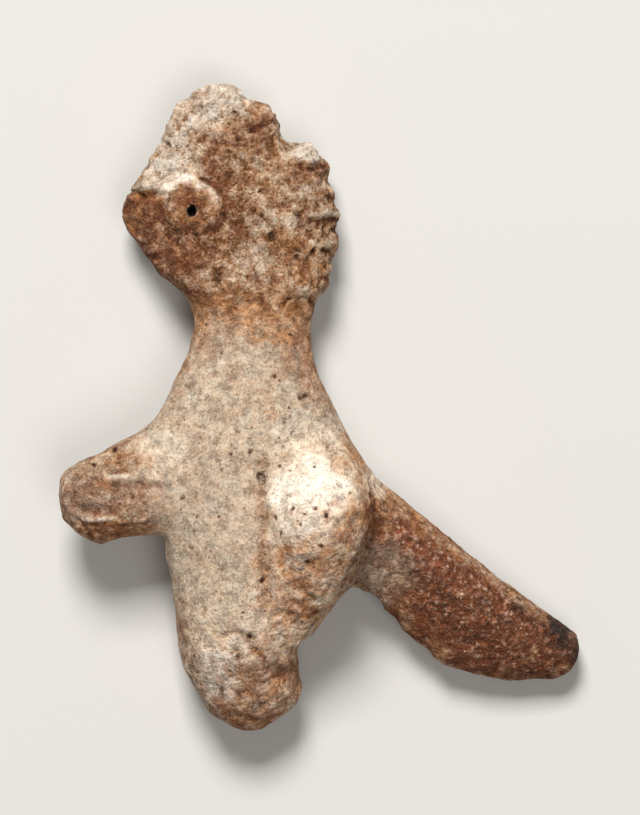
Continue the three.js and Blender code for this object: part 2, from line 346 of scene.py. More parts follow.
@dataclass(frozen=True)
class Step:
    """A low scarp: the clay on the right of a line drops and runs out again."""

    path: Path
    drop: float
    reach: float
    sharpness: float = 2.5

    def press(self, clay: Clay, side: Side = Side.FRONT) -> None:
        """Lowers the clay beyond the line.

        Args:
            clay: The clay.
            side: The face that it lies on.
        """
        distance = Line(self.path).measure(clay)
        beyond = smooth_step(-self.sharpness, self.sharpness, distance)
        fade = np.where(distance > 0, bell(distance, self.reach), 1)
        near = bell(np.minimum(distance, 0), self.reach)
        clay.press(self.drop * beyond * fade * near * clay.seen(side))


@dataclass(frozen=True)
class Pit:
    """A small round pit with a dirty floor."""

    at: Place
    width: float
    depth: float = 0.5
    dirt: float = 0.9
    hollow_width: float = 0.7
    dark_width: float = 0.8
    dirt_gain: float = 1.3

    def press(self, clay: Clay, side: Side = Side.FRONT) -> None:
        """Presses the pit and darkens its floor.

        Args:
            clay: The clay.
            side: The face that it lies on.
        """
        distance = np.hypot(clay.x - self.at[0], clay.y - self.at[1])
        clay.press(self.depth * bell(distance, self.width * self.hollow_width) * clay.seen(side))
        darkened = self.dirt_gain * self.dirt * bell(distance, self.width * self.dark_width)
        clay.stain(Coat.DIRT, 1, darkened * clay.seen(side))


@dataclass(frozen=True)
class Oval:
    """A soft oval in the photograph."""

    at: Place
    size: Place
    turn: float = 0.0
    ragged: float = 0.35

    def weight(self, clay: Clay, wobble: Field, edge: float = 0.3) -> Field:
        """Measures how far inside the oval each point lies.

        Args:
            clay: The clay.
            wobble: A random field that breaks the oval's edge.
            edge: How much of its size the edge takes.

        Returns:
            Weights from 0 to 1.
        """
        angle = np.radians(self.turn)
        x, y = clay.x - self.at[0], clay.y - self.at[1]
        along = (x * np.cos(angle) + y * np.sin(angle)) / self.size[0]
        over = (y * np.cos(angle) - x * np.sin(angle)) / self.size[1]
        distance = np.hypot(along, over) + self.ragged * wobble
        return 1 - smooth_step(1 - edge, 1 + edge, distance)


@dataclass(frozen=True)
class Dent:
    """A broad hollow, or a swelling where the depth is below 0."""

    oval: Oval
    depth: float
    edge: float = 0.9

    def press(self, clay: Clay, side: Side = Side.FRONT) -> None:
        """Presses the hollow."""
        calm = np.zeros(clay.count)
        clay.press(self.depth * self.oval.weight(clay, calm, self.edge) * clay.seen(side))


@dataclass(frozen=True)
class Facet:
    """A flat where a flake of clay has come away."""

    at: Place
    size: float
    facing: tuple[float, float, float]
    bite: float
    touch: float = 4
    slack: float = 3
    shown: float = 0.3
    fade: Place = (0.7, 1.3)

    def press(self, clay: Clay, side: Side = Side.FRONT) -> None:
        """Cuts the clay off at the facet's plane.

        Args:
            clay: The clay.
            side: The face that it lies on.
        """
        distance = np.hypot(clay.x - self.at[0], clay.y - self.at[1])
        level = side.value * clay.points[:, 2]
        near = (distance < self.touch) & (clay.seen(side) > self.shown)
        if not near.any():
            near = distance < distance.min() + self.slack
        top = side.value * level[near].max()
        facing = Vector(self.facing).normalized()
        facing.z *= side.value
        origin = PHOTO.place(*self.at, top) - facing * self.bite * MM
        above = (clay.points - np.array(origin)) @ np.array(facing)
        reach = 1 - smooth_step(self.size * self.fade[0], self.size * self.fade[1], distance)
        cut = np.maximum(above, 0) * reach
        clay.points -= cut[:, None] * np.array(facing)


@dataclass(frozen=True)
class Bite:
    """A scallop broken out of an edge, through its whole thickness."""

    at: Place
    radius: float

    def press(self, clay: Clay, _: Side = Side.FRONT) -> None:
        """Pushes the edge back from the scallop's centre.

        Args:
            clay: The clay.
        """
        x, y = clay.x - self.at[0], clay.y - self.at[1]
        distance = np.hypot(x, y) + TINY
        push = np.maximum(self.radius - distance, 0) / distance * PHOTO.pixel()
        clay.points[:, 0] += x * push
        clay.points[:, 1] -= y * push


@dataclass(frozen=True)
class Nudge:
    """A stretch of an edge that stands out further, or less far, than the rest."""

    at: Place
    width: float
    out: Place

    def press(self, clay: Clay, _: Side = Side.FRONT) -> None:
        """Draws the edge out or in.

        Args:
            clay: The clay.
        """
        distance = np.hypot(clay.x - self.at[0], clay.y - self.at[1])
        weight = bell(distance, self.width) * PHOTO.pixel()
        clay.points[:, 0] += self.out[0] * weight
        clay.points[:, 1] -= self.out[1] * weight


@dataclass(frozen=True)
class Crust:
    """Crumbly clay: small lumps with narrow cracks between them."""

    oval: Oval
    size: float
    depth: float
    seed: float = 20.0
    octaves: int = 3
    sharpness: float = 3.5
    rise: float = 0.8
    edge: float = 0.5

    def press(self, clay: Clay, side: Side = Side.FRONT) -> None:
        """Presses the cracks in and lets the lumps stand.

        Args:
            clay: The clay.
            side: The face that it lies on.
        """
        lumps = np.abs(clay.roughness(self.size, self.octaves, self.seed))
        cracks = np.clip(1 - self.sharpness * lumps, 0, 1)
        weight = self.oval.weight(clay, np.zeros(clay.count), self.edge)
        clay.press(self.depth * (cracks - self.rise * lumps) * weight * clay.seen(side))


@dataclass(frozen=True)
class Patch:
    """A stain or a stretch of coat in an oval."""

    coat: Coat
    oval: Oval
    level: float
    front_only: bool = False
    edge: float = 0.45

    def stain(self, clay: Clay, wobble: Field) -> None:
        """Stains the clay."""
        weight = self.oval.weight(clay, wobble, self.edge)
        clay.stain(self.coat, self.level, weight * clay.seen() if self.front_only else weight)


@dataclass(frozen=True)
class Streak:
    """A stain along a line."""

    coat: Coat
    path: Path
    width: float
    level: float = 1.0
    ragged: float = 0.5

    def stain(self, clay: Clay, wobble: Field) -> None:
        """Stains the clay along the line.

        Args:
            clay: The clay.
            wobble: A random field that breaks the edge.
        """
        distance = np.abs(Line(self.path).measure(clay)) * (1 + self.ragged * wobble)
        weight = bell(distance, self.width) * clay.seen()
        clay.stain(self.coat, self.level, weight)


@dataclass(frozen=True)
class Unevenness:
    """Chance swells and hollows all over the clay, with their depth and size in millimetres."""

    depth: float
    size: float
    octaves: int
    seed: float

    def press(self, clay: Clay) -> None:
        """Presses the unevenness into the clay."""
        clay.press(self.depth * clay.roughness(self.size, self.octaves, self.seed))


Feature = Groove | Step | Pit | Dent | Facet | Bite | Nudge | Crust
Stain = Patch | Streak


@dataclass
class Limb:
    """A stretch of the figurine with its own relief and stains."""

    relief: tuple[Feature, ...] = ()
    stains: tuple[Stain, ...] = ()

    def shape(self, clay: Clay) -> None:
        """Presses the relief into the clay, one feature after another.

        Args:
            clay: The clay.
        """
        for feature in self.relief:
            feature.press(clay)
        clay.settle()

    def dress(self, clay: Clay, wobble: Field) -> None:
        """Stains the clay."""
        for stain in self.stains:
            stain.stain(clay, wobble)


@dataclass
class Head(Limb):
    """The broad slab of the head, with its broken and notched rim."""

    centre: Place = (235, 206)
    rim: float = 96
    rim_reach: float = 1.6
    chin: float = 310
    rim_span: Place = (-50, 215)
    rim_facets: int = 60
    facet_sway: float = 2
    facet_seed: int = 11
    facet_sector: float = 2
    facet_inset: Place = (2, 7)
    facet_tilt: float = 0.35
    facet_lift: Place = (0.3, 1.1)
    facet_size: Place = (6, 14)
    facet_bite: Place = (0.3, 1.3)

    relief: tuple[Feature, ...] = (
        Facet((220, 93), 30, (0.0, 0.75, 0.65), 0.9),
        Facet((262, 113), 15, (0.4, 0.7, 0.6), 0.9),
        Facet((180, 128), 20, (-0.55, 0.45, 0.7), 0.6),
        Facet((168, 150), 14, (-0.7, 0.25, 0.65), 0.5),
        Facet((306, 152), 17, (0.1, 0.8, 0.6), 0.8),
        Facet((324, 180), 13, (0.8, 0.2, 0.6), 0.5),
        Facet((330, 245), 12, (0.75, -0.3, 0.6), 0.5),
        Bite((292, 130), 11.5),
        Bite((341, 229), 6),
        Bite((337, 261), 6),
        Bite((340, 202), 6.5),
        Bite((335.5, 178), 6.5),
        Bite((333, 284), 4.5),
        Bite((250, 89), 9.5),
        Bite((203, 81), 8),
        Bite((176, 95), 9),
        Bite((152, 138), 9),
        Bite((134, 171), 7),
        Nudge((338, 217), 6, (3, 0)),
        Nudge((326, 162), 9, (5, 0)),
        Nudge((328, 285), 14, (4, 1)),
        Nudge((178, 106), 15, (-4, -2.5)),
        Nudge((268, 108), 13, (3.5, -2.5)),
        Nudge((206, 88), 8, (-2, -3)),
        Nudge((194, 92), 6, (-2, -3)),
        Nudge((153, 157), 6, (-3, -1)),
        Nudge((229, 87), 9, (1, -2)),
        Nudge((278, 122), 6, (3, 0)),
        Groove(((251, 130), (262, 125), (274, 117)), 3.2, 0.8, 0.5),
        # Painted shadow line under the raised block, a darkened groove.
        Groove(((301, 166), (313, 167), (328, 162)), 3.2, 0.8, 0.4),
        Groove(((276, 121), (281, 134), (287, 147)), 3.5, 0.5, 0.2),
        Groove(((308, 216), (322, 215), (338, 213)), 3.0, -0.5),
        Groove(((304, 247), (318, 247), (334, 243)), 3.5, -0.25),
        Groove(((304, 190), (316, 187), (329, 186)), 4, -0.2),
        Groove(((308, 274), (318, 276), (328, 272)), 4, -0.2),
        Groove(((206, 160), (227, 202), (239, 249)), 11, 0.45),
        Groove(((199, 99), (174, 124), (160, 152)), 4, -0.35),
        Groove(((186, 112), (192, 132), (184, 152)), 3.5, 0.3, 0.15),
        Dent(Oval((331, 228), (9, 7)), 0.7),
        Dent(Oval((312, 232), (16, 10)), 0.35),
        Dent(Oval((316, 262), (14, 7)), 0.4),
        Dent(Oval((312, 201), (15, 7)), 0.35),
        Dent(Oval((159, 168), (14, 8), -30), -0.35),
        Dent(Oval((150, 178), (9, 6), -30), -0.3),
        Dent(Oval((222, 140), (26, 14), -10), 0.25),
        Dent(Oval((219, 275), (6, 12), 10), 0.6),
        Dent(Oval((206, 118), (14, 8), 20), 0.5),
        Dent(Oval((245, 130), (12, 9)), 0.35),
        Dent(Oval((188, 146), (9, 12), -30), 0.4),
        Dent(Oval((300, 172), (16, 8)), 0.4),
        Dent(Oval((262, 160), (14, 20), 20), 0.3),
        Groove(((285, 306), (289, 300)), 2.2, 0.7, 0.9),
        Crust(Oval((240, 205), (95, 110)), 1.9, 0.16, 20.0),
        Crust(Oval((216, 112), (58, 34), -10), 3.0, 0.4, 21.0),
        Crust(Oval((160, 160), (26, 30), 45), 2.8, 0.35, 22.0),
        Crust(Oval((322, 222), (26, 80)), 2.8, 0.3, 23.0),
        Pit((254, 211), 2.6, 0.5, 1.0),
        Pit((262, 216), 2.4, 0.5, 0.8),
        Pit((260, 191), 2.6, 0.5, 0.9),
        Pit((299, 215), 4.2),
        Pit((271, 237), 6.0, 0.8),
        Pit((298, 250), 3.8),
        Pit((314, 251), 3.8),
        Pit((325, 250), 3.2),
        Pit((296, 257), 3),
        Pit((234, 112), 3, 0.4),
        Pit((219, 203), 2.6, 0.3, 0.6),
        Pit((246, 168), 2.8, 0.3, 0.5),
        Pit((283, 184), 2.6, 0.3, 0.5),
    )

    stains: tuple[Stain, ...] = (
        Patch(Coat.SLIP, Oval((240, 200), (130, 146)), 0.45),
        Patch(Coat.SLIP, Oval((228, 160), (40, 26)), 0.38),
        Patch(Coat.SLIP, Oval((210, 104), (54, 26), -14), 0.88, edge=0.55),
        Patch(Coat.COARSE, Oval((206, 110), (64, 36), -10), 0.35),
        Patch(Coat.SLIP, Oval((168, 140), (22, 34), -30), 0.84, edge=0.55),
        Patch(Coat.COARSE, Oval((168, 145), (34, 44), -30), 0.3),
        Patch(Coat.SLIP, Oval((224, 94), (42, 14)), 0.98),
        Patch(Coat.OCHRE, Oval((198, 100), (16, 9), -20), 0.35),
        Patch(Coat.OCHRE, Oval((232, 128), (14, 10)), 0.3),
        Patch(Coat.SLIP, Oval((158, 172), (22, 12), -30), 1.0),
        # The block's lit top, partly slip, partly a painted highlight.
        Patch(Coat.SLIP, Oval((306, 152), (20, 11)), 1.0, edge=0.3),
        Patch(Coat.SLIP, Oval((256, 264), (28, 30)), 0.66, edge=0.6),
        Patch(Coat.SLIP, Oval((282, 196), (34, 40)), 0.52),
        Patch(Coat.SLIP, Oval((172, 262), (42, 36), 40), 0.26),
        Patch(Coat.RED, Oval((168, 262), (38, 34), 40), 0.42),
        Patch(Coat.COARSE, Oval((240, 200), (112, 128)), 0.95),
        Patch(Coat.OCHRE, Oval((264, 112), (16, 11), 30), 0.75, True),
        Patch(Coat.SLIP, Oval((264, 110), (15, 9), 30), 0.7, True),
        Streak(Coat.RED, ((250, 130), (262, 126), (276, 117)), 5, 0.8),
        # Red along the block's painted shadow line.
        Streak(Coat.RED, ((302, 167), (314, 168), (329, 163)), 5, 0.6),
        Patch(Coat.OCHRE, Oval((312, 274), (16, 20)), 0.55, True),
        Patch(Coat.OCHRE, Oval((290, 246), (30, 14)), 0.4, True),
        Streak(Coat.RED, ((206, 160), (227, 202), (239, 249)), 8, 0.35),
        Patch(Coat.DIRT, Oval((218, 275), (5, 12), 10), 0.75, True),
        # Painted highlights along the rim's raised ribs, laid as pale slip.
        Streak(Coat.SLIP, ((308, 215), (322, 213), (339, 212)), 3.5, 0.85),
        Streak(Coat.SLIP, ((308, 245), (320, 246), (335, 242)), 3.5, 0.75),
        Streak(Coat.SLIP, ((302, 189), (316, 186), (331, 185)), 3.5, 0.7),
        Streak(Coat.SLIP, ((314, 272), (322, 274), (330, 270)), 3, 0.7),
        Streak(Coat.SLIP, ((282, 124), (286, 136), (292, 146)), 4, 0.75),
        Streak(Coat.SLIP, ((262, 103), (272, 113)), 5, 0.8),
        Patch(Coat.DIRT, Oval((238, 240), (60, 30), 20), 0.12, True),
    )

    def shape(self, clay: Clay) -> None:
        """Breaks small flakes off the rim on both faces, then presses the relief.

        Args:
            clay: The clay.
        """
        chance = np.random.default_rng(self.facet_seed)
        for side in Side:
            sway = chance.normal(0, self.facet_sway, self.rim_facets)
            for angle in np.linspace(*self.rim_span, self.rim_facets) + sway:
                self.flake(clay, side, angle, chance)
        clay.settle()
        super().shape(clay)

    def flake(self, clay: Clay, side: Side, angle: float, chance: np.random.Generator) -> None:
        """Breaks one flake off the rim.

        Args:
            clay: The clay.
            side: The face that the flake comes from.
            angle: Where on the rim it lies, in degrees from the photograph's right.
            chance: The source of chance.
        """
        out = Vector((np.cos(np.radians(angle)), np.sin(np.radians(angle)), 0))
        away = np.hypot(clay.x - self.centre[0], clay.y - self.centre[1])
        bearing = np.degrees(np.arctan2(self.centre[1] - clay.y, clay.x - self.centre[0]))
        close = np.abs((bearing - angle + 180) % 360 - 180) < self.facet_sector
        near_head = close & (away < self.rim * self.rim_reach) & (clay.y < self.chin)
        if not near_head.any():
            return
        reach = away[near_head].max() - chance.uniform(*self.facet_inset)
        at = (self.centre[0] + out.x * reach, self.centre[1] - out.y * reach)
        tilt = chance.normal(0, self.facet_tilt)
        lift = chance.uniform(*self.facet_lift)
        facing = (out.x + tilt * out.y, out.y - tilt * out.x, lift)
        size, bite = chance.uniform(*self.facet_size), chance.uniform(*self.facet_bite)
        Facet(at, size, facing, bite).press(clay, side)


@dataclass
class Eye(Limb):
    """A pressed clay disc with a broken lip, a dished floor and a deep pupil."""

    side: Side = Side.FRONT
    at: Place = (195, 209)
    radius: float = 28.5
    height: float = 1.5
    lip: Path = (
        (164, 195),
        (172, 188),
        (180, 182),
        (190, 182),
        (198, 187),
        (207, 189),
        (215, 195),
        (219, 203),
    )
    lip_width: float = 6.5
    lip_height: float = 0.5
    lip_rough: float = 0.35
    lip_crown: float = 3
    lip_loss: float = 0.55
    lip_run: Place = (4, 24)
    wall_share: float = 0.24
    wall_width: float = 4.5
    floor_rough: float = 0.2
    dish: float = 0.45
    dip: float = 0.5
    moat: float = 0.6
    pupil_at: Place = (192, 211.6)
    pupil_radius: float = 5.2
    pupil_squeeze: float = 0.94
    pupil_narrowing: float = 0.2
    pupil_depth: float = 3.0
    pupil_clear: Place = (1.15, 1.5)
    pupil_draw: Place = (2.6, 1.2)
    pupil_wall: Place = (1.1, 0.7)
    disc_edge: Place = (1.22, 1.08)
    steep_wall: Place = (1.2, 1.0)
    soft_wall: Place = (1.12, 0.7)
    upper_turn: float = 0.35
    upper_span: Place = (-0.35, 0.5)
    lip_span: Place = (-0.2, 0.4)
    dish_span: Place = (1, 11)
    dip_span: Place = (0.1, -1)
    moat_at: float = 1.06
    moat_width: float = 0.1
    moat_turn: float = 0.15
    moat_right: Place = (0.0, 0.6)
    moat_below: Place = (0.2, -0.9)
    moat_below_share: float = 0.15
    slab_ring: Place = (1.25, 1.7)
    slab_facing: float = 0.8

    def polar(self, clay: Clay) -> tuple[Field, Field]:
        """Measures where each point lies on the disc.

        Args:
            clay: The clay.

        Returns:
            The distances from the disc's middle, in radii, and the bearings.
        """
        x, y = clay.x - self.at[0], self.at[1] - clay.y
        return np.hypot(x, y) / self.radius, np.arctan2(y, x)

    def fading(self, clay: Clay) -> Field:
        """Returns 1 along the lip's thick left part, less towards its right end."""
        return 1 - self.lip_loss * smooth_step(*self.lip_run, clay.x - self.at[0])

    def inner_wall(self) -> Path:
        """Returns the lip's line moved a share of the way to the disc's middle."""
        share, (middle_x, middle_y) = self.wall_share, self.at
        return tuple((x + share * (middle_x - x), y + share * (middle_y - y)) for x, y in self.lip)

    def shape(self, clay: Clay) -> None:
        """Gives the disc its section and pushes in the pupil.

        Args:
            clay: The clay.
        """
        distance, bearing = self.polar(clay)
        near_face = self.near_face(clay)
        x, y = clay.x - self.pupil_at[0], clay.y - self.pupil_at[1]
        away = np.hypot(x, y * self.pupil_squeeze) / self.pupil_radius
        inwards = Line(self.lip).measure(clay)
        flank = np.where(inwards > -1, self.lip_width, self.lip_width / 2)
        beside = np.maximum(np.abs(inwards + 1) - self.lip_crown, 0)
        lip = bell(beside / flank, 1) * self.fading(clay)
        rough = clay.roughness(1.4, 3, 5.0) * (self.floor_rough + self.lip_rough * lip)
        height = self.section(distance, bearing, inwards, lip) + rough
        clay.press(self.moat * self.ring(distance, bearing) * near_face)
        wanted = self.base(clay, distance) + height * MM
        level = self.side.value * clay.points[:, 2]
        wanted = np.where(distance > 1, np.maximum(wanted, level), wanted)
        weight = smooth_step(*self.disc_edge, distance) * near_face
        weight = weight * smooth_step(*self.pupil_clear, away)
        clay.points[:, 2] += self.side.value * (wanted - level) * weight
        pull = self.pupil_narrowing * smooth_step(*self.pupil_draw, away) * near_face
        clay.points[:, 0] -= x * pull * PHOTO.pixel()
        clay.points[:, 1] += 0.5 * y * pull * PHOTO.pixel()
        inside = smooth_step(*self.pupil_wall, away) * near_face
        clay.points[:, 2] -= self.side.value * self.pupil_depth * MM * inside
        clay.settle()

    def section(self, distance: Field, bearing: Field, inwards: Field, lip: Field) -> Field:
        """Gives the disc's height over the slab.

        Args:
            distance: How far each point is from the middle, in radii.
            bearing: Each point's bearing from the middle.
            inwards: How far each point is inside the lip's line, in pixels.
            lip: 1 on the lip, fading out beside it.

        Returns:
            Heights in millimetres.
        """
        upper = smooth_step(*self.upper_span, np.sin(bearing - self.upper_turn))
        low = smooth_step(*self.dip_span, distance * np.sin(bearing))
        floor = self.height * (1 - self.dip * low)
        floor = floor - self.dish * upper * smooth_step(*self.dish_span, inwards)
        steep, soft = smooth_step(*self.steep_wall, distance), smooth_step(*self.soft_wall, distance)
        wall = steep * upper + soft * (1 - upper)
        return floor * wall + self.lip_height * lip * smooth_step(*self.lip_span, upper)

    def ring(self, distance: Field, bearing: Field) -> Field:
        """Measures the groove round the disc, which fades out at the upper left.

        Args:
            distance: How far each point is from the middle, in radii.
            bearing: Each point's bearing from the middle.

        Returns:
            Weights from 0 to 1.
        """
        right = smooth_step(*self.moat_right, np.cos(bearing - self.moat_turn))
        below = self.moat_below_share * smooth_step(*self.moat_below, np.sin(bearing))
        return bell(distance - self.moat_at, self.moat_width) * np.maximum(right, below)

    def base(self, clay: Clay, distance: Field) -> Field:
        """Measures the slab's own level under the disc.

        Args:
            clay: The clay.
            distance: How far each point is from the disc's middle, in radii.

        Returns:
            The levels of a plane through the slab around the disc.
        """
        level = self.side.value * clay.points[:, 2]
        inner, outer = self.slab_ring
        around = (distance > inner) & (distance < outer) & (clay.seen(self.side) > self.slab_facing)
        places = np.column_stack((clay.x, clay.y, np.ones(clay.count)))
        plane, *_ = np.linalg.lstsq(places[around], level[around], rcond=None)
        return places @ plane

    def near_face(self, clay: Clay) -> Field:
        """Finds the half of the slab that carries this disc.

        Args:
            clay: The clay.

        Returns:
            1 for the points in that half, 0 for the rest.
        """
        close = np.hypot(clay.x - self.at[0], clay.y - self.at[1]) < self.radius
        level = self.side.value * clay.points[:, 2]
        middle = (level[close].max() + level[close].min()) / 2
        return smooth_step(middle, middle + MM, level)

    def dress(self, clay: Clay, wobble: Field) -> None:
        """Colours the floor brown, the lip pale, partly with a painted highlight, its inner wall a
        lightened orange that paints light on its shaded slope, and the groove round it and the pupil dark
        with painted shade.

        Args:
            clay: The clay.
            wobble: A random field that breaks the edge.
        """
        distance, bearing = self.polar(clay)
        seen = clay.seen(self.side)
        disc = smooth_step(1.2, 1.02, distance)
        clay.stain(Coat.SLIP, 0.3, disc * seen)
        clay.stain(Coat.RED, 0.36, disc * seen)
        clay.stain(Coat.OCHRE, 0.4, smooth_step(0.95, 0.72, distance + 0.1 * wobble) * seen)
        ragged = 1 + 0.3 * wobble
        # The lip's pale coat is partly slip, partly a painted highlight on its lit top.
        inwards = Line(self.lip).measure(clay)
        lip = 1.6 * bell((inwards + 2) * ragged, self.lip_width) * seen
        clay.stain(Coat.SLIP, 1.0, lip * self.fading(clay))
        clay.stain(Coat.COARSE, 0.1, lip)
        clay.stain(Coat.RED, 0.0, lip)
        clay.stain(Coat.OCHRE, 0.0, lip)
        # The orange inner wall, lightened with slip as painted light on a slope that faces away from the
        # key light.
        inwards = Line(self.inner_wall()).measure(clay)
        wall = bell(inwards * ragged, self.wall_width) * seen
        clay.stain(Coat.SLIP, 1.0, wall)
        clay.stain(Coat.OCHRE, 1.0, 1.4 * wall)
        clay.stain(Coat.RED, 0.22, wall)
        # Painted shade in the groove round the disc, laid as red and a dark stain.
        groove = self.ring(distance, bearing) * seen
        clay.stain(Coat.SLIP, 0.1, groove)
        clay.stain(Coat.RED, 0.6, groove)
        clay.stain(Coat.DIRT, 0.62, groove)
        # Painted shade: the deep pupil hole is filled with near black.
        x, y = clay.x - self.pupil_at[0], clay.y - self.pupil_at[1]
        away = np.hypot(x, y * self.pupil_squeeze) / self.pupil_radius
        inside = smooth_step(1.15, 0.85, away) * self.near_face(clay)
        clay.stain(Coat.DIRT, 1, inside)
        clay.stain(Coat.SOOT, 1, inside)


@dataclass
class Nose(Limb):
    """The snapped stub of the nose at the head's left edge."""

    relief: tuple[Feature, ...] = (
        Groove(((131, 189), (146, 185), (163, 185)), 4.5, -0.7),
        Nudge((127, 217), 13, (-4, 0)),
        Step(((122, 199), (134, 195), (148, 191), (165, 192)), 1.1, 15, 1.6),
        Dent(Oval((137, 216), (12, 15)), 0.5),
        Groove(((127, 196), (124, 212), (130, 234)), 3.5, -0.3),
        Groove(((166, 205), (163, 222), (170, 238)), 4, 0.3, 0.15),
        Pit((133, 203), 3, 0.3, 0.6),
        Pit((142, 212), 2.6, 0.3, 0.5),
    )

    stains: tuple[Stain, ...] = (
        Patch(Coat.SLIP, Oval((143, 212), (22, 30)), 0.2),
        Patch(Coat.RED, Oval((142, 214), (22, 26)), 0.45),
        # Painted highlight: the lit top of the snapped lip, laid as pale slip.
        Patch(Coat.SLIP, Oval((149, 185), (20, 6), -8), 0.95, True),
        Patch(Coat.RED, Oval((149, 185), (20, 6), -8), 0.0, True),
        # Painted shadow: the orange-brown shade under the lip's overhang.
        Streak(Coat.OCHRE, ((130, 200), (148, 196), (163, 197)), 5, 1.0),
        Patch(Coat.OCHRE, Oval((134, 220), (10, 16)), 0.5, True),
    )


@dataclass
class Neck(Limb):
    """The waisted neck below the head's chin fold."""

    relief: tuple[Feature, ...] = (
        Nudge((193, 337), 13, (-4, 0)),
        Groove(((263, 294), (280, 313), (299, 337)), 3.6, -0.24),
        Groove(((296, 337), (301, 362), (304, 396)), 4.5, 0.35, 0.1),
        Groove(((203, 300), (240, 309), (288, 318), (312, 312)), 7, -0.2),
        Groove(((301, 397), (309, 394)), 2, 0.7, 0.95),
        Pit((275, 375), 3),
        Pit((262, 330), 2.6, 0.3, 0.5),
        Pit((222, 352), 2.6, 0.3, 0.5),
        Pit((285, 420), 3, 0.3, 0.6),
        Dent(Oval((238, 345), (24, 20)), 0.25),
    )

    stains: tuple[Stain, ...] = (
        Patch(Coat.SLIP, Oval((248, 370), (90, 92)), 0.42),
        Patch(Coat.COARSE, Oval((248, 370), (90, 80)), 0.35),
        Patch(Coat.SLIP, Oval((250, 305), (70, 14)), 0.33),
        Patch(Coat.OCHRE, Oval((250, 306), (66, 13)), 0.4),
        Patch(Coat.SLIP, Oval((262, 334), (46, 16), 12), 0.36),
        Patch(Coat.OCHRE, Oval((270, 332), (40, 13), 12), 0.42, True),
        # Darker red on the neck's right flank, partly its red clay, partly painted shade on the side
        # turned away.
        Streak(Coat.RED, ((296, 337), (302, 362), (306, 396)), 6, 0.4),
        Patch(Coat.SLIP, Oval((242, 372), (34, 34)), 0.5),
        Patch(Coat.LILAC, Oval((240, 368), (56, 46)), 0.8),
        Streak(Coat.SLIP, ((267, 298), (280, 313), (299, 338)), 2.6, 0.62),
    )


@dataclass
class Torso(Limb):
    """The flat chest and belly, tapering to the foot."""

    relief: tuple[Feature, ...] = (
        # Valley beside the bosom, darkened a little as painted shade.
        Groove(((262, 464), (261, 500), (263, 560), (267, 592)), 7, 1.3, 0.1),
        Groove(((262, 474), (262, 482)), 2.4, 0.5, 0.8),
        Groove(((250, 630), (257, 610), (263, 590)), 4, -0.35),
        Dent(Oval((206, 520), (34, 60)), -0.25),
        Dent(Oval((225, 440), (28, 30)), 0.2),
        Pit((250, 452), 3.4),
        Pit((262, 478), 3.2),
        Pit((231, 454), 2.6, 0.3),
        Pit((184, 497), 3, 0.3, 0.5),
        Pit((198, 516), 3.2, 0.3, 0.5),
        Pit((192, 548), 2.8, 0.3, 0.5),
        Pit((262, 581), 3, 0.4),
        Pit((214, 593), 2.6, 0.3, 0.6),
        Pit((222, 470), 2.6, 0.25, 0.6),
        Pit((283, 447), 2.6, 0.3, 0.6),
        Pit((328, 446), 3.2, 0.35, 0.5),
    )

    stains: tuple[Stain, ...] = (
        Patch(Coat.SLIP, Oval((222, 540), (78, 150)), 0.64),
        Patch(Coat.SLIP, Oval((238, 440), (96, 60)), 0.57),
        Patch(Coat.LILAC, Oval((240, 430), (100, 56)), 0.95),
        Patch(Coat.SLIP, Oval((166, 452), (26, 22), -30), 0.78),
        Patch(Coat.SLIP, Oval((310, 436), (44, 24)), 0.8),
        Patch(Coat.LILAC, Oval((214, 530), (60, 120)), 0.9),
        Streak(Coat.OCHRE, ((345, 439), (356, 452), (364, 468)), 6, 0.7),
        Patch(Coat.SLIP, Oval((230, 625), (60, 46)), 0.7),
        Patch(Coat.OCHRE, Oval((262, 420), (14, 10)), 0.3, True),
        # Painted shade along the valley beside the bosom.
        Streak(Coat.DIRT, ((262, 474), (262, 500), (263, 560), (266, 596)), 3, 0.22),
        Patch(Coat.COARSE, Oval((230, 500), (90, 150)), 0.03),
    )


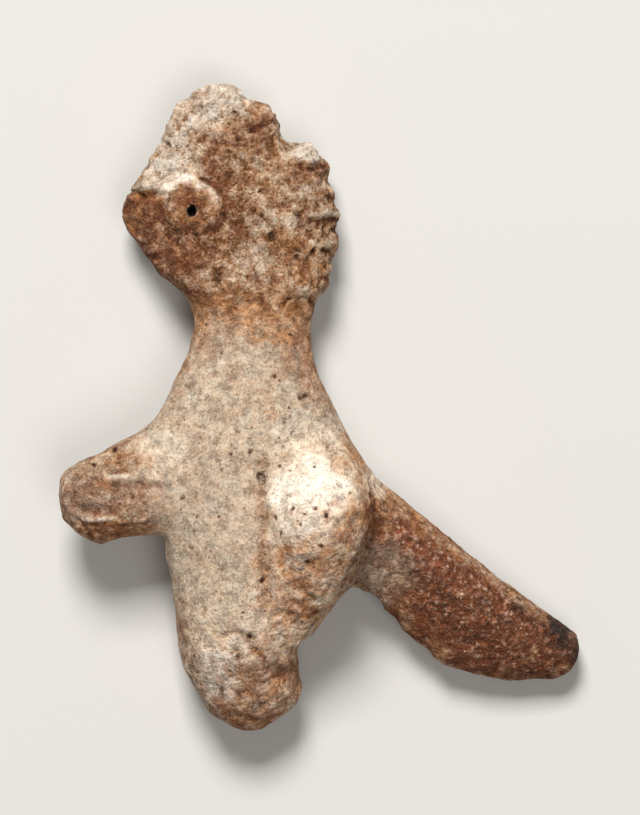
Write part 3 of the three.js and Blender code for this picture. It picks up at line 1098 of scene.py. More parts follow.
@dataclass
class Bosom(Limb):
    """The overhanging lobe of the breast and belly on the photograph's right."""

    relief: tuple[Feature, ...] = (
        Dent(Oval((306, 472), (46, 15)), 0.9),
        Groove(((272, 505), (300, 514), (345, 512)), 7, -0.2),
        Bite((362, 615), 23),
        Bite((346, 622), 19),
        Groove(((278, 562), (290, 571), (306, 569), (318, 560)), 4, 0.35, 0.08),
        Groove(((268, 520), (276, 545), (282, 570)), 6, 0.35),
        Groove(((288, 584), (304, 592), (318, 602)), 3.4, 0.45, 0.15),
        Groove(((296, 553), (312, 548), (326, 556)), 4, -0.35),
        Groove(((305, 600), (322, 596), (330, 588)), 3, 0.35, 0.12),
        Groove(((272, 590), (283, 602), (300, 612)), 4, -0.35),
        Groove(((270, 604), (284, 618), (300, 624)), 4, 0.3, 0.08),
        Dent(Oval((320, 563), (15, 11)), 0.45),
        Dent(Oval((300, 580), (12, 8), 20), 0.4),
        Dent(Oval((302, 611), (14, 8)), 0.35),
        Dent(Oval((286, 550), (7, 9)), 0.45),
        Dent(Oval((354, 528), (12, 14), 60), 0.4),
        Pit((293, 508), 2.8, 0.5, 0.9),
        Pit((305, 513), 2.6, 0.5, 0.8),
        Pit((315, 508), 2.8, 0.5, 0.9),
        Pit((298, 520), 2.6, 0.3, 0.6),
        Pit((338, 520), 2.6, 0.3, 0.6),
        Pit((326, 514), 2.6, 0.5, 0.9),
        Pit((275, 517), 2.6, 0.5, 0.9),
        Crust(Oval((300, 588), (42, 50), 20), 3.4, 0.24, 24.0),
        Crust(Oval((346, 545), (22, 36), 20), 2.6, 0.16, 25.0),
        Pit((281, 532), 2.8, 0.3, 0.6),
        Pit((321, 545), 2.8, 0.35, 0.7),
        Pit((350, 492), 2.6, 0.3, 0.6),
        Pit((307, 562), 3, 0.4, 0.7),
    )

    stains: tuple[Stain, ...] = (
        # The bosom's upward top, near white: partly slip, partly a painted highlight.
        Patch(Coat.SLIP, Oval((308, 490), (52, 32), 4), 0.96, edge=0.4),
        Patch(Coat.COARSE, Oval((315, 494), (60, 40)), 0.15),
        Patch(Coat.LILAC, Oval((318, 500), (52, 60)), 0.0),
        Patch(Coat.LILAC, Oval((306, 585), (40, 50)), 0.0),
        Patch(Coat.COARSE, Oval((305, 590), (50, 50), 30), 0.6),
        Patch(Coat.SLIP, Oval((303, 588), (44, 46), 30), 0.82),
        Patch(Coat.SLIP, Oval((322, 594), (13, 8), -30), 0.95, True),
        Patch(Coat.SLIP, Oval((284, 594), (9, 13)), 0.95, True),
        Patch(Coat.SLIP, Oval((300, 562), (16, 14)), 1.0, True),
        Patch(Coat.SLIP, Oval((300, 528), (42, 24)), 0.92, edge=0.6),
        Patch(Coat.SLIP, Oval((352, 532), (18, 22)), 0.82),
        Patch(Coat.OCHRE, Oval((304, 580), (46, 54), 30), 0.62),
        Patch(Coat.OCHRE, Oval((354, 526), (15, 17), 20), 0.85, True),
        Patch(Coat.OCHRE, Oval((286, 550), (8, 9)), 1.0, True, 0.3),
        Patch(Coat.OCHRE, Oval((320, 562), (17, 11), -30), 1.0, True, 0.3),
        Patch(Coat.RED, Oval((298, 580), (15, 8), 20), 0.35, True, 0.3),
        Patch(Coat.OCHRE, Oval((300, 578), (17, 10), 20), 0.95, True, 0.3),
        Patch(Coat.RED, Oval((302, 608), (17, 9), 15), 0.55, True, 0.3),
        Patch(Coat.OCHRE, Oval((304, 610), (20, 11), 15), 0.95, True, 0.3),
        Patch(Coat.RED, Oval((320, 562), (15, 9), -30), 0.25, True),
        Patch(Coat.RED, Oval((286, 550), (7, 8)), 0.12, True),
        Patch(Coat.OCHRE, Oval((346, 560), (16, 28), 30), 0.4),
        Patch(Coat.SLIP, Oval((262, 600), (16, 30)), 0.85, True),
        Patch(Coat.LILAC, Oval((263, 606), (14, 26)), 0.5, True),
    )


@dataclass
class Foot(Limb):
    """The rounded end below, with a knob, a notch and a small lobe at its right."""

    relief: tuple[Feature, ...] = (
        Groove(((225, 634), (238, 631), (250, 636)), 3.4, 0.4, 0.3),
        Groove(((250, 642), (257, 650), (264, 656)), 3.4, 0.4, 0.3),
        Groove(((254, 683), (266, 682), (281, 675), (295, 671)), 2.6, 0.3, 0.1),
        Groove(((238, 695), (245, 692), (252, 696)), 3, 0.3, 0.1),
        Groove(((233, 652), (237, 648), (241, 654), (237, 660)), 2.6, 0.35, 0.3),
        Groove(((255, 690), (272, 692), (288, 688)), 5, -0.15),
        Groove(((222, 660), (232, 676), (250, 690)), 4, 0.35, 0.15),
        Groove(((262, 640), (270, 658), (284, 664)), 5, -0.35),
        Groove(((216, 706), (236, 716), (262, 722)), 4, 0.3, 0.15),
        Dent(Oval((246, 664), (12, 9)), -0.35),
        Dent(Oval((298, 653), (8, 6)), 0.5),
        Pit((222, 690), 3, 0.35, 0.6),
        Pit((238, 656), 3, 0.35, 0.6),
        Pit((262, 704), 3, 0.3, 0.5),
        Pit((250, 636), 2.8, 0.3, 0.6),
        Bite((316, 654), 19),
        Nudge((294, 704), 20, (4, 2)),
        Nudge((212, 712), 12, (-3, 2)),
        Crust(Oval((246, 686), (62, 52)), 3.2, 0.17, 26.0),
    )

    stains: tuple[Stain, ...] = (
        Patch(Coat.SLIP, Oval((246, 680), (60, 50)), 0.88),
        Patch(Coat.SLIP, Oval((222, 672), (16, 30), 15), 1.0, True),
        Patch(Coat.LILAC, Oval((246, 690), (66, 50)), 0.0),
        Patch(Coat.COARSE, Oval((246, 690), (70, 60)), 0.7),
        Patch(Coat.OCHRE, Oval((268, 688), (48, 46)), 0.8),
        Patch(Coat.RED, Oval((250, 690), (50, 40)), 0.26),
        Patch(Coat.SLIP, Oval((240, 724), (60, 18), 10), 0.62),
        Patch(Coat.RED, Oval((236, 724), (56, 22), 12), 0.5),
        Patch(Coat.OCHRE, Oval((262, 716), (36, 20)), 0.6),
        Streak(Coat.RED, ((176, 600), (186, 650), (206, 696)), 10, 0.4),
        Patch(Coat.RED, Oval((286, 672), (20, 12), -15), 0.5, True),
        Patch(Coat.OCHRE, Oval((268, 650), (20, 16)), 0.45, True),
        Patch(Coat.SLIP, Oval((262, 696), (24, 6), -6), 0.85, True),
        Patch(Coat.RED, Oval((232, 664), (12, 14)), 0.35, True),
        Patch(Coat.RED, Oval((262, 690), (26, 16)), 0.3, True),
    )


@dataclass
class ShortArm(Limb):
    """The broken stump of the arm on the photograph's left."""

    relief: tuple[Feature, ...] = (
        Groove(((112, 478), (126, 477), (142, 475), (163, 480)), 3.2, -0.6),
        # Groove under the upper ridge, darkened as painted shade.
        Groove(((101, 483), (120, 485), (140, 483), (160, 486)), 3, 0.4, 0.12),
        Nudge((98, 540), 13, (1, 5)),
        Nudge((70, 528), 10, (3, -2)),
        Nudge((160, 541), 7, (3, -3)),
        Nudge((142, 432), 15, (-1.6, -3)),
        Nudge((99, 449), 15, (1.6, 3)),
        Crust(Oval((100, 500), (56, 50)), 2.6, 0.16, 27.0),
        Groove(((84, 518), (96, 519), (110, 518), (124, 521), (146, 519)), 2.6, -0.42),
        Groove(((80, 505), (90, 508), (100, 505)), 5, 0.3, 0.2),
        Groove(((75, 516), (83, 525), (92, 535)), 2.6, 0.5, 0.4),
        Groove(((72, 470), (66, 487), (68, 503), (76, 517)), 3.4, -0.4),
        Groove(((104, 500), (130, 503), (160, 500)), 4, -0.2),
        Groove(((86, 508), (98, 511), (112, 511)), 5, 0.35, 0.1),
        Groove(((96, 470), (120, 462), (150, 458)), 4, 0.2),
        Pit((115, 448), 3.2, 0.4, 0.8),
        Pit((94, 463), 3.2, 0.4, 0.8),
        Pit((134, 497), 2.6, 0.25, 0.5),
        Dent(Oval((148, 440), (20, 12), -28), -0.15),
    )

    stains: tuple[Stain, ...] = (
        Patch(Coat.COARSE, Oval((100, 490), (60, 60)), 0.7),
        Patch(Coat.SLIP, Oval((108, 488), (58, 52)), 0.5),
        Patch(Coat.SLIP, Oval((120, 458), (52, 18), -22), 0.5),
        Patch(Coat.SLIP, Oval((104, 514), (52, 28)), 0.52),
        Patch(Coat.SLIP, Oval((118, 534), (50, 12)), 0.62),
        Patch(Coat.LILAC, Oval((96, 486), (40, 26)), 0.45),
        Patch(Coat.RED, Oval((108, 512), (54, 32)), 0.3),
        # Dark recess above the lower ridge: partly its red clay, partly painted shade.
        Patch(Coat.RED, Oval((96, 506), (14, 8)), 0.8, True),
        # Painted highlights: the lit tops of the two ridges, laid as pale slip.
        Streak(Coat.SLIP, ((112, 477), (138, 475), (163, 480)), 3.5, 1.0),
        Streak(Coat.SLIP, ((84, 518), (100, 519), (118, 519)), 3, 0.95),
        Streak(Coat.SLIP, ((118, 519), (146, 519)), 2.6, 0.7),
        Patch(Coat.OCHRE, Oval((116, 530), (38, 10)), 1.0, True),
        Patch(Coat.RED, Oval((108, 530), (20, 7)), 0.62, True),
        # Pale rim round the broken end, partly slip, partly a painted highlight on its rounded edge.
        Streak(Coat.SLIP, ((70, 470), (65, 488), (68, 506), (78, 518), (86, 530)), 4, 0.75),
        Patch(Coat.OCHRE, Oval((112, 484), (16, 6)), 0.5, True),
        Patch(Coat.OCHRE, Oval((66, 480), (5, 16)), 0.5, True),
        Patch(Coat.GRIT, Oval((108, 500), (60, 44)), 0.25),
    )


LONG_ARM_BAND: Path = (
    (394, 498),
    (424, 523),
    (450, 544),
    (478, 565),
    (505, 587),
    (531, 606),
    (550, 620),
)


@dataclass
class LongArm(Limb):
    """The flat paddle of the long arm, which runs down to the sooty tip."""

    relief: tuple[Feature, ...] = (
        Nudge((440, 532), 40, (1.2, -1.8)),
        Nudge((393, 618), 12, (3, -2.5)),
        Nudge((448, 659), 14, (-3, 3)),
        Step(((372, 470), (420, 520), (477, 571), (518, 609), (560, 640)), 0.55, 26, 2.4),
        Crust(Oval((470, 590), (130, 56), 40), 1.5, 0.22, 28.0),
        # Groove under the arm's ledge, darkened as painted shadow.
        Groove(((477, 573), (500, 594), (518, 611), (534, 622)), 3, 0.5, 0.35),
        Groove(((404, 534), (411, 537), (417, 541)), 2.4, -0.5),
        Step(((340, 594), (351, 570), (365, 546), (375, 516), (372, 492)), 1.5, 14, 1.8),
        # Crevice between the bosom and the arm, darkened as painted shade.
        Groove(((375, 492), (378, 508), (370, 532), (357, 560), (344, 588)), 2.6, 0.9, 0.4),
        Groove(((366, 466), (378, 480), (386, 498)), 4, -0.35),
        Groove(((392, 540), (440, 580), (500, 630)), 6, -0.2),
        Groove(((400, 575), (450, 625), (510, 660)), 5, 0.2),
        Dent(Oval((440, 560), (26, 14), 42), 0.25),
        Dent(Oval((480, 625), (40, 18), 35), -0.3),
        Dent(Oval((382, 560), (16, 12)), 0.25),
        Pit((505, 600), 3, 0.4, 0.6),
        Pit((548, 634), 3, 0.3, 0.4),
    )

    stains: tuple[Stain, ...] = (
        Patch(Coat.COARSE, Oval((475, 595), (146, 70), 40), 0.75),
        Patch(Coat.SLIP, Oval((464, 585), (146, 70), 40), 0.1),
        Patch(Coat.OCHRE, Oval((475, 595), (140, 64), 40), 0.1),
        Patch(Coat.RED, Oval((475, 600), (132, 60), 40), 0.95),
        Patch(Coat.GRIT, Oval((470, 602), (120, 46), 40), 0.9),
        Patch(Coat.SLIP, Oval((376, 580), (34, 24), 10), 0.5),
        Patch(Coat.RED, Oval((378, 576), (34, 20), 12), 0.35),
        Patch(Coat.LILAC, Oval((374, 566), (36, 26), 20), 0.66),
        Patch(Coat.SLIP, Oval((378, 482), (13, 22), -30), 0.85, True),
        Patch(Coat.RED, Oval((378, 482), (13, 22), -30), 0.1, True),
        Patch(Coat.RED, Oval((384, 522), (12, 26), 15), 0.35, True),
        Patch(Coat.SLIP, Oval((385, 522), (12, 24), 15), 0.34, True),
        # The top bevel along the arm: ochre, lightened with slip as a painted highlight where it catches
        # the light.
        Streak(Coat.RED, LONG_ARM_BAND, 8, 0.25),
        Streak(Coat.OCHRE, LONG_ARM_BAND, 9, 0.75),
        Streak(Coat.SLIP, LONG_ARM_BAND, 9, 0.74),
        Patch(Coat.OCHRE, Oval((416, 524), (26, 10), 42), 0.7, True),
        Patch(Coat.SLIP, Oval((410, 520), (8, 10)), 0.35, True),
        # Painted shade in the crevice under the bosom's edge.
        Streak(Coat.DIRT, ((374, 500), (384, 508), (376, 526)), 6, 0.4),
        # Painted shadow under the arm's ledge.
        Patch(Coat.DIRT, Oval((517, 611), (13, 7), 40), 0.6, True),
        Patch(Coat.DIRT, Oval((476, 622), (86, 34), 38), 0.27),
        Patch(Coat.SOOT, Oval((574, 640), (22, 24), 40), 0.55),
        Patch(Coat.SOOT, Oval((562, 630), (15, 8), 40), 1.0),
        Patch(Coat.DIRT, Oval((556, 640), (28, 22), 40), 0.45),
        Streak(Coat.SLIP, ((508, 675), (530, 680), (552, 672)), 4, 0.35),
    )


@dataclass(frozen=True)
class Finish:
    """A finish from its dark to its light colour, as a screen shows them, 0 to 255."""

    dark: Colour
    light: Colour

    @staticmethod
    def linear(colour: Colour) -> Light:
        """Returns a screen colour as linear light with alpha."""
        shares = [c / 255 for c in colour]
        return (*[s / 12.92 if s <= 0.04045 else ((s + 0.055) / 1.055) ** 2.4 for s in shares], 1.0)


@dataclass(frozen=True)
class Tone:
    """The colour of the clay where so much of its slip is left, from 0 to 1."""

    slip: float
    colour: Colour


SLIP_TONES = (
    Tone(0.00, (82, 46, 24)),
    Tone(0.22, (134, 88, 56)),
    Tone(0.45, (182, 138, 102)),
    Tone(0.66, (214, 183, 152)),
    Tone(0.84, (238, 216, 190)),
    Tone(1.00, (251, 238, 219)),
)
LILAC = Finish((147, 132, 112), (201, 190, 171))
PORE = Finish((98, 56, 26), (162, 112, 68))
OCHRE = Finish((150, 90, 46), (220, 158, 98))
RED = Finish((86, 39, 23), (160, 92, 60))
GRIT = Finish((176, 132, 106), (232, 196, 168))
SPECK = Finish((84, 50, 28), (132, 92, 60))
# Dark grime, also used for painted shade in crevices, moats, hollows and the pupil.
DIRT = Finish((44, 24, 12), (86, 52, 30))
# Soot, also used for the pupil's painted shade.
SOOT = Finish((26, 22, 22), (60, 50, 48))


class Tree:
    """A short way to write a shader node tree."""

    def __init__(self, tree: bpy.types.NodeTree) -> None:
        """Starts an empty tree."""
        self.tree = tree
        self.tree.nodes.clear()

    def add(self, kind: str, inputs: dict | None = None, **settings: object) -> bpy.types.Node:
        """Adds a node.

        Args:
            kind: Blender's name of the node's type.
            inputs: Values or sockets for its inputs, by name or number.
            **settings: The node's own settings.

        Returns:
            The node.
        """
        node = self.tree.nodes.new(kind)
        for name, value in settings.items():
            setattr(node, name, value)
        for name, value in (inputs or {}).items():
            self.feed(node.inputs[name], value)
        return node

    def feed(self, socket: bpy.types.NodeSocket, value: object) -> None:
        """Links a socket to another, or sets its value.

        Args:
            socket: The input.
            value: An output to link it to, or its value.
        """
        if isinstance(value, bpy.types.NodeSocket):
            self.tree.links.new(value, socket)
        else:
            socket.default_value = value

    def math(self, operation: str, *values: object) -> bpy.types.NodeSocket:
        """Adds a Math node and returns its result."""
        return self.add("ShaderNodeMath", dict(enumerate(values)), operation=operation).outputs[0]

    def ramp(
        self,
        value: object,
        low: object,
        high: object,
        to: Place = (0, 1),
        curve: str = "SMOOTHSTEP",
    ) -> bpy.types.NodeSocket:
        """Adds a Map Range node.

        Args:
            value: The value to map.
            low: Where the result starts.
            high: Where it ends.
            to: What it starts and ends at.
            curve: Blender's name of the way between them.

        Returns:
            The mapped value.
        """
        inputs = {"Value": value, "From Min": low, "From Max": high, "To Min": to[0], "To Max": to[1]}
        node = self.add("ShaderNodeMapRange", inputs, interpolation_type=curve)
        return node.outputs["Result"]

    def mix(self, share: object, first: object, second: object) -> bpy.types.NodeSocket:
        """Mixes two colours.

        Args:
            share: How much of the second one shows.
            first: The first colour.
            second: The second colour.

        Returns:
            The mixed colour.
        """
        node = self.add("ShaderNodeMix", data_type="RGBA")
        self.feed(node.inputs[0], share)
        self.feed(node.inputs[6], first)
        self.feed(node.inputs[7], second)
        return node.outputs[2]

    def noise(self, place: object, size: float, detail: float, rough: float) -> bpy.types.NodeSocket:
        """Adds a noise whose lumps are size millimetres wide and returns its value."""
        inputs = {"Vector": place, "Scale": 1 / (size * MM), "Detail": detail, "Roughness": rough}
        return self.add("ShaderNodeTexNoise", inputs).outputs["Fac"]


def new_group(name: str, inputs: dict[str, float | None]) -> tuple[Tree, bpy.types.Node, bpy.types.Node]:
    """Starts a shader node group whose output is a mask.

    Args:
        name: The group's name.
        inputs: Its inputs with their defaults, None for a vector.

    Returns:
        The group's tree, its input node and its output node.
    """
    group = bpy.data.node_groups.new(name, "ShaderNodeTree")
    for label, default in inputs.items():
        kind = "NodeSocketVector" if default is None else "NodeSocketFloat"
        socket = group.interface.new_socket(label, in_out="INPUT", socket_type=kind)
        if default is not None:
            socket.default_value = default
    group.interface.new_socket("Mask", in_out="OUTPUT", socket_type="NodeSocketFloat")
    tree = Tree(group)
    return tree, tree.add("NodeGroupInput"), tree.add("NodeGroupOutput")


def broken_coat_group() -> bpy.types.NodeTree:
    """Builds the effect of a coat that wears away in flecks of several sizes.

    Returns:
        The group, which turns a place, a cover and a fleck size into a mask.
    """
    inputs = {"Place": None, "Cover": 0.5, "Fleck": 1.0, "Softness": 0.12, "Fine": 0.5}
    tree, given, result = new_group("BrokenCoat", inputs)
    scale = tree.math("DIVIDE", 1 / MM, given.outputs["Fleck"])
    settings = {"Vector": given.outputs["Place"], "Scale": scale, "Detail": 5, "Roughness": 0.62}
    large = tree.add("ShaderNodeTexNoise", settings).outputs["Fac"]
    settings |= {"Scale": tree.math("MULTIPLY", scale, 4.3), "Detail": 3, "Roughness": 0.6}
    small = tree.add("ShaderNodeTexNoise", settings).outputs["Fac"]
    flecks = tree.add("ShaderNodeMix", {0: given.outputs["Fine"], 2: large, 3: small}, data_type="FLOAT")
    level = tree.ramp(flecks.outputs[0], 0.34, 0.66)
    edge = tree.math("SUBTRACT", given.outputs["Cover"], level)
    softness = given.outputs["Softness"]
    mask = tree.ramp(edge, tree.math("MULTIPLY", softness, -1), softness, curve="LINEAR")
    tree.feed(result.inputs["Mask"], mask)
    return tree.tree


def speck_group() -> bpy.types.NodeTree:
    """Builds the effect of small scattered specks, some larger than others.

    Returns:
        The group, which turns a place, a spacing and a share of cells into a mask.
    """
    inputs = {"Place": None, "Spacing": 1.0, "Share": 0.5, "Size": 0.3}
    tree, given, result = new_group("ScatteredSpecks", inputs)
    place = given.outputs["Place"]
    scale = tree.math("DIVIDE", 1 / MM, given.outputs["Spacing"])
    warp = tree.add("ShaderNodeTexNoise", {"Vector": place, "Scale": 1800.0, "Detail": 2})
    reach = (0.8 * MM, 0.8 * MM, 0.8 * MM)
    push = {0: warp.outputs["Color"], 1: reach}
    nudge = tree.add("ShaderNodeVectorMath", push, operation="MULTIPLY").outputs[0]
    ragged = tree.add("ShaderNodeVectorMath", {0: place, 1: nudge}, operation="ADD").outputs[0]
    cells = tree.add("ShaderNodeTexVoronoi", {"Vector": ragged, "Scale": scale})
    chance = tree.add("ShaderNodeSeparateColor", {0: cells.outputs["Color"]})
    chosen = tree.math("LESS_THAN", chance.outputs[0], given.outputs["Share"])
    varied = tree.ramp(chance.outputs[1], 0, 1, (0.5, 1.3))
    size = tree.math("MULTIPLY", given.outputs["Size"], varied)
    inner = tree.math("MULTIPLY", size, 0.55)
    spot = tree.ramp(cells.outputs["Distance"], inner, size, (1, 0), curve="LINEAR")
    tree.feed(result.inputs["Mask"], tree.math("MULTIPLY", chosen, spot))
    return tree.tree


@dataclass(frozen=True)
class Wear:
    """How a coat breaks up where it is thin, with fleck sizes in millimetres."""

    fleck: float
    softness: float
    fine: float
    shift: float


@dataclass(frozen=True)
class Scatter:
    """How specks lie, with their spacing in millimetres and their size as a share of it."""

    spacing: float
    size: float
    shift: float


OCHRE_WEAR = Wear(2.6, 0.6, 0.25, 0.3)
RED_WEAR = Wear(3.0, 0.6, 0.25, 0.7)
DIRT_AND_SHADE_WEAR = Wear(1.1, 0.4, 0.4, 0.9)
SOOT_AND_SHADE_WEAR = Wear(2.2, 0.75, 0.4, 0.5)
BROWN_SPECKS = Scatter(1.0, 0.22, 0.11)
PINHOLES = Scatter(2.2, 0.14, 0.23)
GRAINS = Scatter(1.15, 0.42, 0.37)


class ClayTree(Tree):
    """The clay's shader tree, with the covers, patterns and specks that its layers share."""

    def __init__(self, tree: bpy.types.NodeTree) -> None:
        """Starts the tree.

        Args:
            tree: The material's own tree.
        """
        super().__init__(tree)
        self.coat_group, self.speck_group = broken_coat_group(), speck_group()
        self.place = self.add("ShaderNodeTexCoord").outputs["Object"]
        self.cover = {
            coat: self.add("ShaderNodeAttribute", attribute_name=coat.value).outputs["Fac"]
            for coat in Coat
        }
        self.broad = self.ramp(self.noise(self.place, 6.5, 4, 0.6), 0.3, 0.7)
        self.patchy = self.ramp(self.noise(self.place, 3.2, 5, 0.62), 0.32, 0.68)
        self.mottle = self.ramp(self.noise(self.place, 1.6, 6, 0.68), 0.3, 0.7)
        self.grain = self.ramp(self.noise(self.place, 0.45, 4, 0.65), 0.33, 0.67)
        self.fleck = self.blend((self.grain, 0.5), (self.mottle, 0.5))
        self.brown = self.scattered(BROWN_SPECKS, 0.6)
        self.pinholes = self.scattered(PINHOLES, 0.32)
        gritty = self.ramp(self.broad, 0.1, 0.9, (0.25, 0.95))
        self.grit = self.scattered(GRAINS, self.math("MULTIPLY", self.cover[Coat.GRIT], gritty))

    def blend(self, *parts: tuple[object, float]) -> bpy.types.NodeSocket:
        """Adds values up by their weights.

        Args:
            *parts: Values with their weights, the last one added first.

        Returns:
            The sum.
        """
        *rest, (value, weight) = parts
        total = self.math("MULTIPLY", value, weight)
        for value, weight in reversed(rest):
            total = self.math("MULTIPLY_ADD", value, weight, total)
        return total

    def broken(self, level: object, wear: Wear) -> bpy.types.NodeSocket:
        """Breaks a coat up into flecks.

        Args:
            level: The coat's cover.
            wear: How it breaks up.

        Returns:
            The coat's mask.
        """
        shift = (wear.shift, -wear.shift, wear.shift)
        moved = self.add("ShaderNodeVectorMath", {0: self.place, 1: shift}, operation="ADD")
        inputs = {
            "Place": moved.outputs[0],
            "Cover": level,
            "Fleck": wear.fleck,
            "Softness": wear.softness,
            "Fine": wear.fine,
        }
        return self.add("ShaderNodeGroup", inputs, node_tree=self.coat_group).outputs["Mask"]

    def stained(self, coat: Coat, wear: Wear) -> bpy.types.NodeSocket:
        """Breaks a stain up into flecks, with few of them where there is hardly any.

        Args:
            coat: The stain.
            wear: How it breaks up.

        Returns:
            The stain's mask.
        """
        amount = self.ramp(self.cover[coat], 0, 0.25, (0.3, 1))
        return self.math("MULTIPLY", self.broken(self.cover[coat], wear), amount)

    def scattered(self, scatter: Scatter, share: object) -> bpy.types.NodeSocket:
        """Scatters specks over the clay.

        Args:
            scatter: How the specks lie.
            share: The share of the places that hold one.

        Returns:
            The specks' mask.
        """
        shift = (-scatter.shift, scatter.shift, scatter.shift)
        moved = self.add("ShaderNodeVectorMath", {0: self.place, 1: shift}, operation="ADD")
        inputs = {
            "Place": moved.outputs[0],
            "Spacing": scatter.spacing,
            "Share": share,
            "Size": scatter.size,
        }
        return self.add("ShaderNodeGroup", inputs, node_tree=self.speck_group).outputs["Mask"]

    def lay(self, mask: object, below: object, finish: Finish, tone: object) -> bpy.types.NodeSocket:
        """Lays a finish over a colour.

        Args:
            mask: Where the finish lies.
            below: The colour below it.
            finish: The finish.
            tone: 0 where the finish is dark and 1 where it is light.

        Returns:
            The new colour.
        """
        above = self.mix(tone, Finish.linear(finish.dark), Finish.linear(finish.light))
        return self.mix(mask, below, above)

    def slip_tones(self, level: bpy.types.NodeSocket) -> bpy.types.NodeSocket:
        """Colours the clay from bare brown to thick pale slip.

        Args:
            level: How much slip is left, a little below 0 to a little above 1.

        Returns:
            The colour.
        """
        ramp = self.add("ShaderNodeValToRGB", {"Fac": level})
        stops = ramp.color_ramp.elements
        while len(stops) < len(SLIP_TONES):
            stops.new(1.0)
        for stop, tone in zip(stops, SLIP_TONES):
            stop.position = tone.slip
            stop.color = Finish.linear(tone.colour)
        return ramp.outputs["Color"]


@dataclass(frozen=True)
class FiredClay:
    """Porous fired clay with a worn pale slip, red and ochre stains, grit and soot; its coats also carry
    painted highlights and painted shade.
    """

    name: str = "fired_clay_weathered"
    roughness: Place = (0.96, 0.78)
    specular: float = 0.15
    bump: float = 0.9
    bump_distance: float = 0.0005
    arm_turn: float = 0.7
    arm_stretch: float = 0.22

    def build(self) -> bpy.types.Material:
        """Makes the material.

        Returns:
            The material, on Object coordinates and the coats' attributes.
        """
        material = bpy.data.materials.new(self.name)
        material.use_nodes = True
        tree = ClayTree(material.node_tree)
        colour = self.stains(tree, self.slip(tree))
        colour = self.dirt(tree, self.specks(tree, colour))
        inputs = {
            "Height": self.height(tree),
            "Strength": self.bump,
            "Distance": self.bump_distance,
        }
        bump = tree.add("ShaderNodeBump", inputs)
        gloss = tree.ramp(tree.fleck, 0, 1, self.roughness)
        inputs = {"Base Color": colour, "Roughness": gloss, "Normal": bump.outputs[0]}
        shader = tree.add("ShaderNodeBsdfPrincipled", inputs)
        shader.inputs["Specular IOR Level"].default_value = self.specular
        output = tree.add("ShaderNodeOutputMaterial")
        tree.feed(output.inputs["Surface"], shader.outputs[0])
        return material

    @staticmethod
    def slip(tree: ClayTree) -> bpy.types.NodeSocket:
        """Colours the clay and what is left of its slip, greyed by the wash.

        Args:
            tree: The clay's tree.

        Returns:
            The colour.
        """
        slip, wash, coarse = tree.cover[Coat.SLIP], tree.cover[Coat.LILAC], tree.cover[Coat.COARSE]
        spread = tree.blend((tree.patchy, 0.35), (tree.broad, 0.2), (tree.fleck, 0.6))
        swing = tree.math("SUBTRACT", 1.2, tree.math("MULTIPLY", slip, 0.92))
        swing = tree.math("MULTIPLY", swing, tree.math("MULTIPLY_ADD", coarse, 0.88, 0.29))
        level = tree.math("MULTIPLY_ADD", tree.math("SUBTRACT", spread, 0.575), swing, slip)
        grey = tree.math("MULTIPLY", wash, tree.math("MULTIPLY_ADD", tree.broad, 0.3, 0.62))
        return tree.lay(grey, tree.slip_tones(level), LILAC, tree.fleck)

    @staticmethod
    def stains(tree: ClayTree, colour: bpy.types.NodeSocket) -> bpy.types.NodeSocket:
        """Lays the ochre and red stains on, and the wash over the red.

        Args:
            tree: The clay's tree.
            colour: The colour below.

        Returns:
            The stained colour.
        """
        ochre = tree.math("MULTIPLY", tree.stained(Coat.OCHRE, OCHRE_WEAR), 0.85)
        red = tree.math("MULTIPLY", tree.stained(Coat.RED, RED_WEAR), 0.92)
        washed = tree.math("MULTIPLY", tree.cover[Coat.RED], 0.9)
        washed = tree.math("MULTIPLY", tree.cover[Coat.LILAC], washed)
        colour = tree.lay(ochre, colour, OCHRE, tree.fleck)
        colour = tree.lay(red, colour, RED, tree.fleck)
        return tree.lay(washed, colour, LILAC, tree.fleck)

    @staticmethod
    def specks(tree: ClayTree, colour: bpy.types.NodeSocket) -> bpy.types.NodeSocket:
        """Adds pores, brown specks, pinholes and grit.

        Args:
            tree: The clay's tree.
            colour: The colour below.

        Returns:
            The speckled colour.
        """
        porous = tree.math("MULTIPLY_ADD", tree.cover[Coat.COARSE], 0.5, 0.1)
        pores = tree.math("MULTIPLY", tree.ramp(tree.fleck, 0.42, 0.12), porous)
        sparse = tree.ramp(tree.noise(tree.place, 8, 3, 0.6), 0.36, 0.66, (0.1, 0.8))
        covered = tree.ramp(tree.cover[Coat.SLIP], 0.7, 1.0, (1, 0.35))
        brown = tree.math("MULTIPLY", tree.brown, tree.math("MULTIPLY", sparse, covered))
        colour = tree.lay(pores, colour, PORE, tree.mottle)
        colour = tree.lay(brown, colour, SPECK, tree.mottle)
        colour = tree.lay(tree.math("MULTIPLY", tree.pinholes, 0.8), colour, DIRT, tree.grain)
        return tree.lay(tree.math("MULTIPLY", tree.grit, 0.75), colour, GRIT, tree.grain)

    @staticmethod
    def dirt(tree: ClayTree, colour: bpy.types.NodeSocket) -> bpy.types.NodeSocket:
        """Lightens ridges, partly as wear and partly as a painted highlight, then lays grime and soot on,
        which also paint shade in crevices, moats, hollows and the pupil.

        Args:
            tree: The clay's tree.
            colour: The colour below.

        Returns:
            The finished colour.
        """
        # Ridges lightened by the worn coat: partly wear, partly a painted highlight.
        worn = tree.math("MULTIPLY", tree.cover[Coat.WORN], tree.ramp(tree.fleck, 0.2, 0.6, (0.3, 1)))
        colour = tree.lay(tree.math("MULTIPLY", worn, 0.4), colour, GRIT, tree.mottle)
        colour = tree.lay(tree.broken(tree.cover[Coat.DIRT], DIRT_AND_SHADE_WEAR), colour, DIRT, tree.grain)
        return tree.lay(tree.broken(tree.cover[Coat.SOOT], SOOT_AND_SHADE_WEAR), colour, SOOT, tree.grain)

